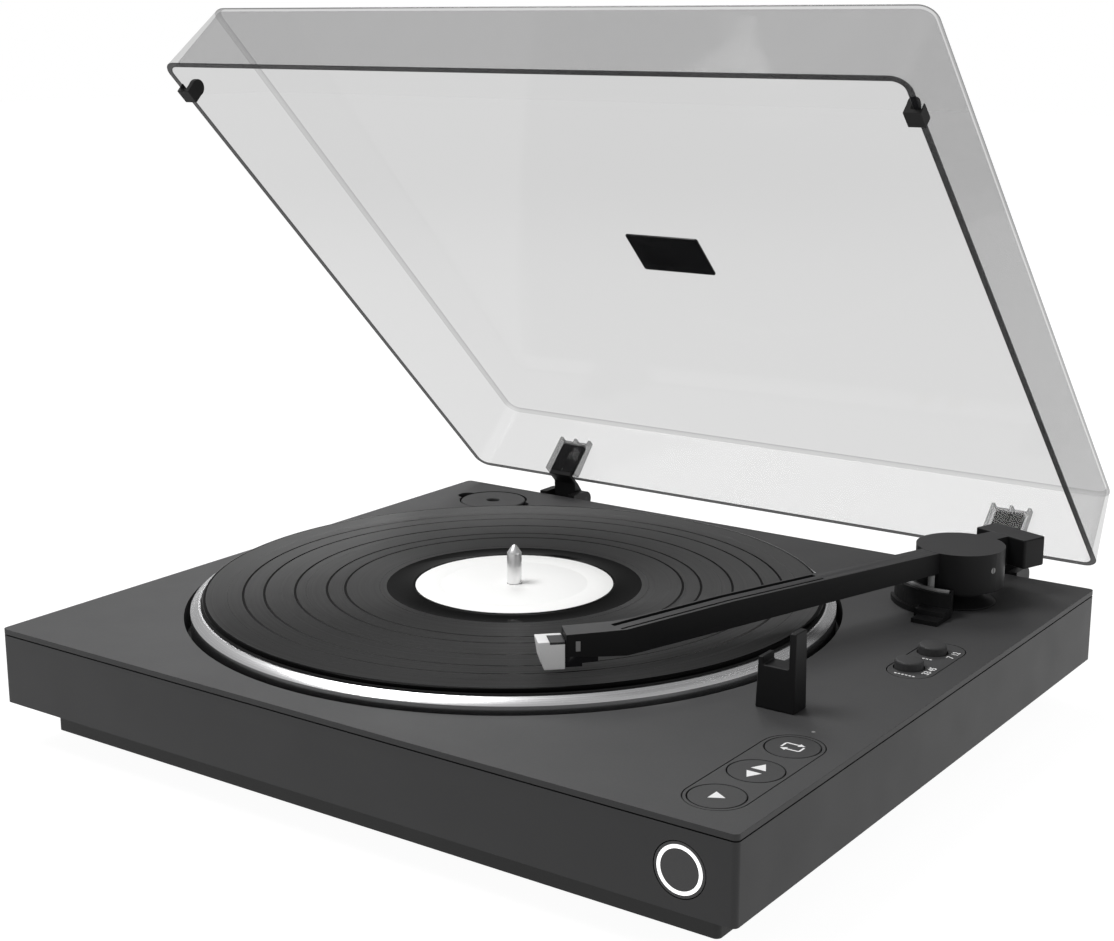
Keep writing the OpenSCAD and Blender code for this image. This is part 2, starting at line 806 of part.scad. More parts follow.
module button_panel() {
    color("#3a3a3a") on_deck() translate([button_x, button_front, 0]) difference() {
        union() {
            stadium(panel_r, 0, 2 * button_pitch, under_z - 1.5, 0);
            stadium(panel_r + 2, 0, 2 * button_pitch, under_z - 1.5, under_z);
        }
        for (i = [0:2]) translate([0, i * button_pitch, 0])
            post(button_r + button_gap, under_z - 2, 1);
    }
}

module transport_button(i) {
    color("#3d3d3d") at_button(i) {
        post(button_r, -4.2, 0);
        ring(button_r, button_r - 1.2, -6, -4.2);
        post(2, -7.6, -4.2);
    }
}

module play_button() {
    transport_button(0);
}

module cue_button() {
    transport_button(1);
}

module repeat_button() {
    transport_button(2);
}

board_gap = press + 0.3;

module button_board() {
    z_top = -7.6 - board_gap - 1.4;
    color("#1e5b34") on_deck() translate([button_x, button_front, 0])
        block([-13, -12, z_top - 1.6], [13, 2 * button_pitch + 24, z_top]);
    color("#1e5b34") on_deck() translate([button_x, button_front, 0])
        for (x = [-11.2, 11.2], i = [0, 1]) translate([x, (i + 0.5) * button_pitch, 0])
            post(1.4, z_top, under_z - 1.5);
    color("#cccccc") for (i = [0:2]) at_button(i) block([-3, -3, z_top], [3, 3, z_top + 1.4]);
}

module status_lens() {
    color("#a0a0a0") on_deck() translate([button_x - 0.8, lens_y, 0]) post(lens_r, -5, 0.15);
}

module switch_panel() {
    color("#3a3a3a") on_deck() translate([switch_x, switch_y, 0]) difference() {
        union() {
            stadium(switch_r, 0, switch_len, under_z - 1.5, 0);
            stadium(switch_r + 1.5, 0, switch_len, under_z - 1.5, under_z);
        }
        for (y = knob_y) translate([knob_x - switch_x, y - switch_y, 0])
            post(knob_r + button_gap, under_z - 2, 1);
    }
}

module switch_knob(y) {
    color("#2c2c2c") on_deck() translate([knob_x, y, 0]) rotate_extrude() polygon([
        [0, -7], [knob_r, -7], [knob_r, knob_top - 0.6], [knob_r - 0.6, knob_top], [0, knob_top]
    ]);
}

module speed_button() {
    switch_knob(knob_y[0]);
}

module size_button() {
    switch_knob(knob_y[1]);
}

module switch_board() {
    z_top = -7 - knob_press - 0.4;
    color("#1e5b34") on_deck() translate([switch_x, switch_y, 0]) {
        block([-11, -10, z_top - 1.6], [11, switch_len + 10, z_top]);
        for (p = [[6, -6], [1, switch_len / 2], [6, switch_len + 6]])
            translate([p[0], p[1], 0]) post(1.4, z_top, under_z - 1.5);
    }
}

module at_power() {
    on_deck() translate([power_x, 0, power_z]) rotate([-90, 0, 0]) children();
}

module power_button() {
    color("#333333") at_power() difference() {
        union() {
            cylinder(r = power_r, h = 6);
            cylinder(r = 2, h = 10);
        }
        ring(ring_out, ring_in, -1, 2);
    }
}

module power_ring() {
    color("white") at_power() ring(ring_out - 0.02, ring_in + 0.02, 0, 2);
}

module power_switch() {
    color("#444444") on_deck() translate([power_x, 0, power_z])
        union() {
            block([-15, 11.6, -6], [15, 17, 6]);
            for (s = [-1, 1]) block([s * 13.5 - 1.5, cabinet_wall, -6], [s * 13.5 + 1.5, 12, 6]);
        }
}

module adapter_cup() {
    color("#222222") on_deck() translate([adapter_x, adapter_y, 0]) difference() {
        union() {
            post(cup_r + 1.5, -cup_depth - 1.5, under_z);
            rotate([0, 0, 90]) stadium(notch_w / 2 + 1.5, notch_w / 2 - notch_reach, notch_reach - notch_w / 2,
                -cup_depth - 1.5, under_z);
        }
        adapter_recess(-cup_depth, 1);
    }
}

module adapter_45() {
    color("#404040") on_deck() translate([adapter_x, adapter_y, 0]) rotate_extrude() polygon([
        [spindle_r + 0.05, -cup_depth + 0.3], [adapter_r - 0.8, -cup_depth + 0.3], [adapter_r, -cup_depth + 1.1],
        [adapter_r, -0.5], [adapter_r - 0.5, 0], [spindle_r + 0.6, 0], [spindle_r + 0.05, -0.5]
    ]);
}

// ---- Dust cover and hinges ----

// One horizontal slice of the cover's outside, drawn in by its draft
module lid_slice(z, shrink, extra) {
    k = z / lid_h;
    x0 = lid_x0 + draft_side * k + shrink;
    x1 = lid_x1 - draft_side * k - shrink;
    y0 = lid_y0 + draft_front * k + shrink;
    y1 = lid_y1 - draft_rear * k - shrink;
    r = max(lid_corner - shrink, 1);
    translate([0, 0, lid_gap + z]) for (x = [x0 + r, x1 - r], y = [y0 + r, y1 - r])
        translate([x, y, 0]) cylinder(r = r, h = extra, $fn = 32);
}

module lid_solid(shrink, z0, z1, edge) {
    hull() {
        lid_slice(z0, shrink, eps);
        lid_slice(z1 - edge - eps, shrink, eps);
        lid_slice(z1 - edge * 0.4 - eps, shrink + edge * 0.25, eps);
        lid_slice(z1 - eps, shrink + edge, eps);
    }
}

module dust_cover() {
    color("#c8c8c8", 0.35) on_lid() difference() {
        lid_solid(0, 0, lid_h, lid_edge);
        lid_solid(lid_t, -1, lid_h - lid_t, lid_edge * 0.5);
    }
}

// Clear sockets on the inside of the rear wall, one at each hinge
module hinge_sockets() {
    z0 = lid_gap + 0.4;
    z1 = lid_gap + 21.5;
    y_wall = lid_y1 - lid_t - 1.4;
    color("#a0a0a0", 0.5) on_lid() for (x = hinge_x) translate([x, 0, 0]) difference() {
        union() {
            block([-socket_half, y_wall - socket_out, z0], [socket_half, y_wall + 1.2, z1]);
            for (dx = [-socket_half + 0.9, 0, socket_half - 0.9])
                block([dx - 0.9, y_wall - socket_out - 0.6, z0], [dx + 0.9, y_wall, z1 + 1.8]);
        }
        // Pocket for the tongue
        block([-tongue_w / 2, y_wall - tongue_t - 0.6, z0 - 1], [tongue_w / 2, y_wall + 0.15, z1 - 1.2]);
        // Keep the socket off the leaning wall
        translate([-socket_half - 1, lid_y1 - lid_t, lid_gap]) rotate([atan(draft_rear / lid_h), 0, 0])
            cube([2 * socket_half + 2, 6, 30]);
    }
}

module hinge_tongues() {
    y_wall = lid_y1 - lid_t - 1.4;
    y0 = y_wall - tongue_t - 0.4;
    z_under = lid_gap - 0.25;
    color("#191919") on_lid() for (x = hinge_x) translate([x, 0, 0]) {
        difference() {
            union() {
                rotate([90, 0, 90]) translate([0, 0, -tongue_w / 2]) linear_extrude(tongue_w) polygon([
                    [y0, lid_gap + 19.5], [y0, lid_gap - 2.2], [lid_y1 + 0.4, lid_gap - 2.2],
                    [hinge_y - 3.6, hinge_z - 3.2], [hinge_y + 1, hinge_z + knuckle_r - 0.3],
                    [lid_y1 + 4, z_under], [y_wall - 0.2, z_under], [y_wall - 0.2, lid_gap + 19.5]
                ]);
                translate([-tongue_w / 2, hinge_y, hinge_z]) rotate([0, 90, 0])
                    cylinder(r = knuckle_r, h = tongue_w);
            }
            translate([-20, hinge_y, hinge_z]) rotate([0, 90, 0])
                cylinder(r = hinge_pin_r + fit, h = 40);
        }
    }
}

module hinge_bases() {
    cheek = base_half - tongue_w / 2 - apart;
    color("#1d1d1d") on_deck() for (x = hinge_x) translate([x, 0, 0]) difference() {
        union() {
            for (s = [-1, 1]) translate([s * (base_half - cheek / 2), 0, 0]) {
                translate([-cheek / 2, hinge_y, hinge_z]) rotate([0, 90, 0])
                    cylinder(r = knuckle_r, h = cheek);
                block([-cheek / 2, deck_d, hinge_z - 14], [cheek / 2, hinge_y, hinge_z + knuckle_r]);
            }
            block([-base_half, deck_d, hinge_z - 17], [base_half, deck_d + 4, hinge_z - 8]);
            block([-base_half, deck_d, hinge_z - 17], [base_half, hinge_y + 2, hinge_z - 9]);
        }
        translate([-20, hinge_y, hinge_z]) rotate([0, 90, 0]) cylinder(r = hinge_pin_r, h = 40);
        for (s = [-1, 1]) translate([s * 8, deck_d - 1, -14]) rotate([-90, 0, 0]) {
            cylinder(r = 1.7, h = 30);
            translate([0, 0, 4]) cylinder(r = 3.2, h = 30);
        }
    }
}

module hinge_pins() {
    color("silver") on_deck() for (x = hinge_x) translate([x - base_half, hinge_y, hinge_z])
        rotate([0, 90, 0]) cylinder(r = hinge_pin_r, h = 2 * base_half);
}

module hinge_screws() {
    color("silver") on_deck() for (x = hinge_x, s = [-1, 1]) translate([x + s * 8, deck_d + 3, -14])
        rotate([-90, 0, 0]) screw(2.9, 1.6, 1.45, cabinet_wall + 2.8);
}

badge_w = 42;
badge_d = 27.6;

module lid_badge() {
    cx = deck_w / 2 - 0.4;
    cy = (lid_y0 + lid_y1) / 2;
    z0 = lid_gap + lid_h;
    color("#242424") on_lid() {
        rounded_plate(cx - badge_w / 2, cy - badge_d / 2, cx + badge_w / 2, cy + badge_d / 2, 1.2, z0, z0 + 1);
        rounded_plate(cx - badge_w / 2 + 3, cy - badge_d / 2 + 3, cx + badge_w / 2 - 3, cy + badge_d / 2 - 3,
            1, z0 + 1, z0 + 1.5);
    }
}

// Rubber bumpers that clip over the rim near its front corners
module lid_bumpers() {
    y = lid_y1 - 330;
    color("#121212") on_lid() for (m = [0, 1]) translate([m * deck_w, 0, 0]) mirror([m, 0, 0])
        translate([0, y, 0]) {
            block([lid_x0 - 0.8, -4, lid_gap - 2.2], [lid_x0 + lid_t + 3.7, 4, lid_gap]);
            translate([lid_x0 + lid_t + 1.1, 0, lid_gap]) intersection() {
                rotate([0, 90, 0]) translate([-4, 0, 0]) cylinder(r = 4.2, h = 2.6);
                block([0, -5, -1], [5, 5, 9]);
            }
            block([lid_x0 + lid_t + 1.1, -4, lid_gap - 1], [lid_x0 + lid_t + 3.7, 4, lid_gap + 4]);
            block([lid_x0 - 0.8, -4, lid_gap - 1], [lid_x0 - 0.1, 4, lid_gap + 3]);
        }
}

// ---- Rear sockets ----

module jack_plate() {
    y0 = deck_d - jack_plate_t;
    color("#1c1c1c") on_deck() difference() {
        block([jack_x - jack_half + 3, y0, jack_z - 8], [jack_x + jack_half - 3, deck_d, jack_z + 8]);
        for (x = rca_x) translate([x, y0 - 1, jack_z]) rotate([-90, 0, 0]) cylinder(r = rca_r, h = 5);
        translate([dc_x, y0 - 1, jack_z]) rotate([-90, 0, 0]) cylinder(r = 5, h = 5);
        block([line_x - 5.6, y0 - 1, jack_z - 2.3], [line_x + 5.6, deck_d + 1, jack_z + 2.3]);
    }
}

module rca_sockets() {
    color("gold") on_deck() for (x = rca_x) translate([x, deck_d - 6, jack_z]) rotate([-90, 0, 0]) difference() {
        union() {
            cylinder(r = rca_r, h = 15);
            translate([0, 0, 6]) cylinder(r = 6, h = 1.2);
        }
        translate([0, 0, 6]) cylinder(r = 1.6, h = 10);
    }
}

module dc_socket() {
    color("#111111") on_deck() translate([dc_x, deck_d - 10, jack_z]) rotate([-90, 0, 0]) difference() {
        cylinder(r = 5, h = 10.4);
        translate([0, 0, 1]) cylinder(r = 2.75, h = 12);
    }
}

module line_switch_knob() {
    color("#333333") on_deck() translate([line_x - 2, 0, jack_z]) {
        block([-2, deck_d - 4, -1.9], [2, deck_d + 1.4, 1.9]);
        block([-2.6, deck_d - 4.6, -2.6], [2.6, deck_d - 3.2, 2.6]);
    }
}

deck_plate();
cabinet();
base_pan();
feet();
base_screws();
platter_well();
spindle_bearing();
platter();
slip_mat();
vinyl_record();
record_label();
spindle();
motor();
motor_screws();
motor_pulley();
drive_belt();
main_board();
arm_drive_unit();
tonearm_base();
arm_yoke();
yoke_clip();
tonearm();
counterweight();
pivot_screws();
cartridge();
stylus_holder();
stylus_tip();
cue_housing();
cue_lifter();
arm_rest();
button_panel();
play_button();
cue_button();
repeat_button();
button_board();
status_lens();
switch_panel();
speed_button();
size_button();
switch_board();
power_button();
power_ring();
power_switch();
adapter_cup();
adapter_45();
dust_cover();
hinge_sockets();
hinge_tongues();
lid_badge();
lid_bumpers();
hinge_bases();
hinge_pins();
hinge_screws();
jack_plate();
rca_sockets();
dc_socket();
line_switch_knob();
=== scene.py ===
"""Looks of a record player: pieces, finishes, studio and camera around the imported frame."""

import math

import bmesh
import bpy
from mathutils import Matrix, Vector


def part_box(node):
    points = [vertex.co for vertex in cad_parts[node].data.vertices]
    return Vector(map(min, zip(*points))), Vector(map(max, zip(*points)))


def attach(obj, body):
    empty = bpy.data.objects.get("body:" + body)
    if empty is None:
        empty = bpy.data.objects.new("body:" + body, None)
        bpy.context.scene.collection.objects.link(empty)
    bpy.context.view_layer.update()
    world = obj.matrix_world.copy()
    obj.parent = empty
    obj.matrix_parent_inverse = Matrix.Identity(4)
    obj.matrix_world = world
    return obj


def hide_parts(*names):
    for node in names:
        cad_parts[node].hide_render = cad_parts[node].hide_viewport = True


bl_info = {
    "name": "Record player",
    "version": (1, 0, 0),
    "blender": (4, 5, 0),
    "location": "3D View > Sidebar > Record player",
    "description": "Builds the pieces, finishes and studio of a record player",
    "category": "Object",
}

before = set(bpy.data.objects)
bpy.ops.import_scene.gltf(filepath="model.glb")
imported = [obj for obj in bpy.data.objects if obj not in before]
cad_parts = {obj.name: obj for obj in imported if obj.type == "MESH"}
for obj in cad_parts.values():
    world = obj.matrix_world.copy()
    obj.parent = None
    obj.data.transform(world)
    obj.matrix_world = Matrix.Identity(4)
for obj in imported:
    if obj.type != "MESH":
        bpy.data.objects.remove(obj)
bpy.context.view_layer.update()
MM = 0.001
DECK_LOW, DECK_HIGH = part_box("deck_plate")
RECORD_LOW, RECORD_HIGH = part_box("vinyl_record")
CENTRE = (RECORD_LOW + RECORD_HIGH) / 2


def place(x, y, z):
    """A point given in mm from the deck's front left top corner."""
    return Vector((DECK_LOW.x + x * MM, DECK_LOW.y + y * MM, DECK_HIGH.z + z * MM))


# ---------------------------------------------------------------- settings


class DeckSettings(bpy.types.PropertyGroup):
    deck_tone: bpy.props.FloatVectorProperty(
        name="Top plate", description="Colour of the textured top plate",
        subtype="COLOR", default=(0.054, 0.054, 0.055), min=0, max=1)
    case_tone: bpy.props.FloatVectorProperty(
        name="Cabinet", description="Colour of the cabinet's sides",
        subtype="COLOR", default=(0.0235, 0.0235, 0.0242), min=0, max=1)
    grain: bpy.props.FloatProperty(
        name="Grain", description="Size of the moulded grain",
        default=0.0004, min=0.0001, max=0.005, unit="LENGTH")
    edge: bpy.props.FloatProperty(
        name="Edge", description="Rounding of the deck's edges",
        default=0.0006, min=0.0001, max=0.002, unit="LENGTH")


class CoverSettings(bpy.types.PropertyGroup):
    tint: bpy.props.FloatProperty(
        name="Tint", description="Share of light that one surface of the cover keeps back",
        default=0.165, min=0, max=1, subtype="FACTOR")
    edge_tint: bpy.props.FloatProperty(
        name="Edge tint", description="The same at the cover's sawn edge",
        default=0.9, min=0, max=1, subtype="FACTOR")


class ArmSettings(bpy.types.PropertyGroup):
    # Painted light: the tone below colours the arm's and drum's side faces and the top tone their flat faces; one
    # moulding, lighter tops as painted highlight, darker sides as painted shade.
    tone: bpy.props.FloatVectorProperty(
        name="Arm", description="Colour of the arm's moulding",
        subtype="COLOR", default=(0.011, 0.011, 0.0114), min=0, max=1)
    painted_light_top_tone: bpy.props.FloatVectorProperty(
        name="Arm top painted light", description="Colour of the arm's and the drum's top faces",
        subtype="COLOR", default=(0.036, 0.036, 0.037), min=0, max=1)
    edge: bpy.props.FloatProperty(
        name="Edge", description="Rounding of the arm's edges",
        default=0.0005, min=0.0001, max=0.002, unit="LENGTH")


# ---------------------------------------------------------------- finishes


def node_tree(name):
    mat = bpy.data.materials.new(name)
    mat.use_nodes = True
    return mat, mat.node_tree.nodes, mat.node_tree.links, mat.node_tree.nodes["Principled BSDF"]


def new_group(name, inputs, outputs):
    group = bpy.data.node_groups.new(name, "ShaderNodeTree")
    for label, kind, value in inputs:
        socket = group.interface.new_socket(label, in_out="INPUT", socket_type=kind)
        if value is not None:
            socket.default_value = value
    for label, kind in outputs:
        group.interface.new_socket(label, in_out="OUTPUT", socket_type=kind)
    n = group.nodes
    return group, n, group.links, n.new("NodeGroupInput"), n.new("NodeGroupOutput")


def grain_group():
    """Moulded grain: a mottled colour, an uneven gloss and a height."""
    group, n, link, i, o = new_group(
        "Moulded grain",
        [("Colour", "NodeSocketColor", (0.05, 0.05, 0.05, 1)), ("Scale", "NodeSocketFloat", 2500.0),
         ("Contrast", "NodeSocketFloat", 0.15), ("Roughness", "NodeSocketFloat", 0.5),
         ("Patches", "NodeSocketFloat", 0.06)],
        [("Colour", "NodeSocketColor"), ("Roughness", "NodeSocketFloat"), ("Height", "NodeSocketFloat")])
    where = n.new("ShaderNodeTexCoord")
    fine = n.new("ShaderNodeTexNoise")
    fine.inputs["Detail"].default_value = 3
    broad = n.new("ShaderNodeTexNoise")
    broad.inputs["Scale"].default_value = 35
    link.new(where.outputs["Object"], fine.inputs["Vector"])
    link.new(where.outputs["Object"], broad.inputs["Vector"])
    link.new(i.outputs["Scale"], fine.inputs["Scale"])
    swing = n.new("ShaderNodeMath")
    swing.operation = "MULTIPLY_ADD"
    centred = n.new("ShaderNodeMath")
    centred.operation = "SUBTRACT"
    centred.inputs[1].default_value = 0.5
    link.new(fine.outputs["Fac"], centred.inputs[0])
    link.new(centred.outputs[0], swing.inputs[0])
    link.new(i.outputs["Contrast"], swing.inputs[1])
    swing.inputs[2].default_value = 1.0
    shade = n.new("ShaderNodeVectorMath")
    shade.operation = "SCALE"
    link.new(i.outputs["Colour"], shade.inputs[0])
    link.new(swing.outputs[0], shade.inputs["Scale"])
    link.new(shade.outputs["Vector"], o.inputs["Colour"])
    gloss = n.new("ShaderNodeMath")
    gloss.operation = "MULTIPLY_ADD"
    even = n.new("ShaderNodeMath")
    even.operation = "SUBTRACT"
    even.inputs[1].default_value = 0.5
    link.new(broad.outputs["Fac"], even.inputs[0])
    link.new(even.outputs[0], gloss.inputs[0])
    link.new(i.outputs["Patches"], gloss.inputs[1])
    link.new(i.outputs["Roughness"], gloss.inputs[2])
    link.new(gloss.outputs[0], o.inputs["Roughness"])
    link.new(fine.outputs["Fac"], o.inputs["Height"])
    return group


def moulded(name, colour, roughness=0.5, scale=2500, depth=0.00002, contrast=0.2, patches=0.1,
            metallic=0.0, specular=0.28, coat=0.0):
    """A plain finish with the moulded grain in it."""
    mat, n, link, shader = node_tree(name)
    grain = n.new("ShaderNodeGroup")
    grain.node_tree = GROUPS["grain"]
    grain.inputs["Colour"].default_value = (*colour, 1)
    grain.inputs["Scale"].default_value = scale
    grain.inputs["Contrast"].default_value = contrast
    grain.inputs["Roughness"].default_value = roughness
    grain.inputs["Patches"].default_value = patches
    bump = n.new("ShaderNodeBump")
    bump.inputs["Distance"].default_value = depth
    bump.inputs["Strength"].default_value = 0.8
    link.new(grain.outputs["Colour"], shader.inputs["Base Color"])
    link.new(grain.outputs["Roughness"], shader.inputs["Roughness"])
    link.new(grain.outputs["Height"], bump.inputs["Height"])
    link.new(bump.outputs["Normal"], shader.inputs["Normal"])
    shader.inputs["Metallic"].default_value = metallic
    shader.inputs["Specular IOR Level"].default_value = specular
    shader.inputs["Coat Weight"].default_value = coat
    return mat


def radial_nodes(n, link):
    """Distance from the spindle in mm and the direction round it, on Object coordinates."""
    where = n.new("ShaderNodeTexCoord")
    off = n.new("ShaderNodeVectorMath")
    off.operation = "SUBTRACT"
    off.inputs[1].default_value = (CENTRE.x, CENTRE.y, 0)
    link.new(where.outputs["Object"], off.inputs[0])
    flat = n.new("ShaderNodeVectorMath")
    flat.operation = "MULTIPLY"
    flat.inputs[1].default_value = (1000, 1000, 0)
    link.new(off.outputs["Vector"], flat.inputs[0])
    far = n.new("ShaderNodeVectorMath")
    far.operation = "LENGTH"
    link.new(flat.outputs["Vector"], far.inputs[0])
    round_it = n.new("ShaderNodeVectorMath")
    round_it.operation = "CROSS_PRODUCT"
    round_it.inputs[1].default_value = (0, 0, 1)
    link.new(flat.outputs["Vector"], round_it.inputs[0])
    unit = n.new("ShaderNodeVectorMath")
    unit.operation = "NORMALIZE"
    link.new(round_it.outputs["Vector"], unit.inputs[0])
    return far.outputs["Value"], unit.outputs["Vector"]


RECORD_R = 150.8
TRACK_GAPS = (131.0, 121.0, 106.5, 91.0, 82.0)
DEAD_WAX = 61.9


def vinyl():
    """Grooved vinyl: round highlights, dark gaps between tracks, glossy run-out."""
    mat, n, link, shader = node_tree("Vinyl")
    far, tangent = radial_nodes(n, link)
    share = n.new("ShaderNodeMath")
    share.operation = "DIVIDE"
    share.inputs[1].default_value = RECORD_R
    link.new(far, share.inputs[0])
    bands = n.new("ShaderNodeValToRGB")
    bands.color_ramp.interpolation = "CONSTANT"
    stops = [(0, 0.0), (DEAD_WAX, 1.0)]
    for gap in sorted(TRACK_GAPS):
        stops += [(gap - 0.7, 0.0), (gap + 0.7, 1.0)]
    stops += [(RECORD_R - 2.3, 0.0)]
    ramp = bands.color_ramp
    while len(ramp.elements) < len(stops):
        ramp.elements.new(0.5)
    for element, (r, v) in zip(ramp.elements, stops):
        element.position = r / RECORD_R
        element.color = (v, v, v, 1)
    link.new(share.outputs[0], bands.inputs["Fac"])
    # Loud and quiet passages: gloss and tone change with radius alone
    passage = n.new("ShaderNodeTexNoise")
    passage.noise_dimensions = "1D"
    passage.inputs["Scale"].default_value = 0.4
    passage.inputs["Detail"].default_value = 6
    passage.inputs["Roughness"].default_value = 0.7
    link.new(far, passage.inputs["W"])
    tone = n.new("ShaderNodeMapRange")
    tone.inputs["From Min"].default_value = 0.3
    tone.inputs["From Max"].default_value = 0.7
    tone.inputs["To Min"].default_value = 0.002
    tone.inputs["To Max"].default_value = 0.026
    link.new(passage.outputs["Fac"], tone.inputs["Value"])
    grey = n.new("ShaderNodeCombineColor")
    for k in ("Red", "Green", "Blue"):
        link.new(tone.outputs["Result"], grey.inputs[k])
    colour = n.new("ShaderNodeMix")
    colour.data_type = "RGBA"
    colour.inputs["A"].default_value = (0.002, 0.002, 0.002, 1)
    link.new(bands.outputs["Color"], colour.inputs["Factor"])
    link.new(grey.outputs["Color"], colour.inputs["B"])
    link.new(colour.outputs["Result"], shader.inputs["Base Color"])
    wear = n.new("ShaderNodeMapRange")
    wear.inputs["From Min"].default_value = 0.3
    wear.inputs["From Max"].default_value = 0.7
    wear.inputs["To Min"].default_value = 0.26
    wear.inputs["To Max"].default_value = 0.44
    link.new(passage.outputs["Fac"], wear.inputs["Value"])
    rough = n.new("ShaderNodeMapRange")
    rough.inputs["To Min"].default_value = 0.12
    link.new(wear.outputs["Result"], rough.inputs["To Max"])
    link.new(bands.outputs["Color"], rough.inputs["Value"])
    link.new(rough.outputs["Result"], shader.inputs["Roughness"])
    shader.inputs["Anisotropic"].default_value = 0.85
    shine = n.new("ShaderNodeMapRange")
    shine.inputs["To Min"].default_value = 0.02
    shine.inputs["To Max"].default_value = 0.16
    link.new(bands.outputs["Color"], shine.inputs["Value"])
    link.new(shine.outputs["Result"], shader.inputs["Specular IOR Level"])
    link.new(tangent, shader.inputs["Tangent"])
    # Grooves as a fine ripple
    ripple = n.new("ShaderNodeMath")
    ripple.operation = "SINE"
    fast = n.new("ShaderNodeMath")
    fast.operation = "MULTIPLY"
    fast.inputs[1].default_value = 9.0
    link.new(far, fast.inputs[0])
    link.new(fast.outputs[0], ripple.inputs[0])
    gated = n.new("ShaderNodeMath")
    gated.operation = "MULTIPLY"
    link.new(ripple.outputs[0], gated.inputs[0])
    link.new(bands.outputs["Color"], gated.inputs[1])
    bump = n.new("ShaderNodeBump")
    bump.inputs["Distance"].default_value = 0.00001
    bump.inputs["Strength"].default_value = 0.5
    link.new(gated.outputs[0], bump.inputs["Height"])
    link.new(bump.outputs["Normal"], shader.inputs["Normal"])
    return mat


def turned(name, colour, roughness):
    """Metal turned on a lathe round the spindle."""
    mat, n, link, shader = node_tree(name)
    far, tangent = radial_nodes(n, link)
    lines = n.new("ShaderNodeTexNoise")
    lines.noise_dimensions = "1D"
    lines.inputs["Scale"].default_value = 4
    lines.inputs["Detail"].default_value = 4
    link.new(far, lines.inputs["W"])
    rough = n.new("ShaderNodeMapRange")
    rough.inputs["To Min"].default_value = roughness * 0.75
    rough.inputs["To Max"].default_value = roughness * 1.3
    link.new(lines.outputs["Fac"], rough.inputs["Value"])
    link.new(rough.outputs["Result"], shader.inputs["Roughness"])
    link.new(tangent, shader.inputs["Tangent"])
    shader.inputs["Base Color"].default_value = (*colour, 1)
    shader.inputs["Metallic"].default_value = 1
    shader.inputs["Anisotropic"].default_value = 0.5
    return mat


def clear(name, colour, held, roughness=0.04, rim=0.25, specular=0.3):
    """Clear plastic: each surface keeps back a little light, more when seen along it."""
    mat, n, link, shader = node_tree(name)
    weight = n.new("ShaderNodeLayerWeight")
    weight.inputs["Blend"].default_value = 0.25
    alpha = n.new("ShaderNodeMapRange")
    alpha.inputs["To Min"].default_value = held
    alpha.inputs["To Max"].default_value = min(held + rim, 1)
    link.new(weight.outputs["Facing"], alpha.inputs["Value"])
    link.new(alpha.outputs["Result"], shader.inputs["Alpha"])
    haze = n.new("ShaderNodeTexNoise")
    haze.inputs["Scale"].default_value = 18
    where = n.new("ShaderNodeTexCoord")
    link.new(where.outputs["Object"], haze.inputs["Vector"])
    rough = n.new("ShaderNodeMapRange")
    rough.inputs["To Min"].default_value = roughness
    rough.inputs["To Max"].default_value = roughness * 1.8
    link.new(haze.outputs["Fac"], rough.inputs["Value"])
    link.new(rough.outputs["Result"], shader.inputs["Roughness"])
    shader.inputs["Base Color"].default_value = (*colour, 1)
    shader.inputs["IOR"].default_value = 1.49
    shader.inputs["Specular IOR Level"].default_value = specular
    return mat


def glowing(name, colour, strength):
    mat, n, link, shader = node_tree(name)
    shader.inputs["Base Color"].default_value = (*colour, 1)
    shader.inputs["Emission Color"].default_value = (*colour, 1)
    shader.inputs["Emission Strength"].default_value = strength
    shader.inputs["Roughness"].default_value = 0.35
    return mat


GROUPS = {}
LOOK = {}


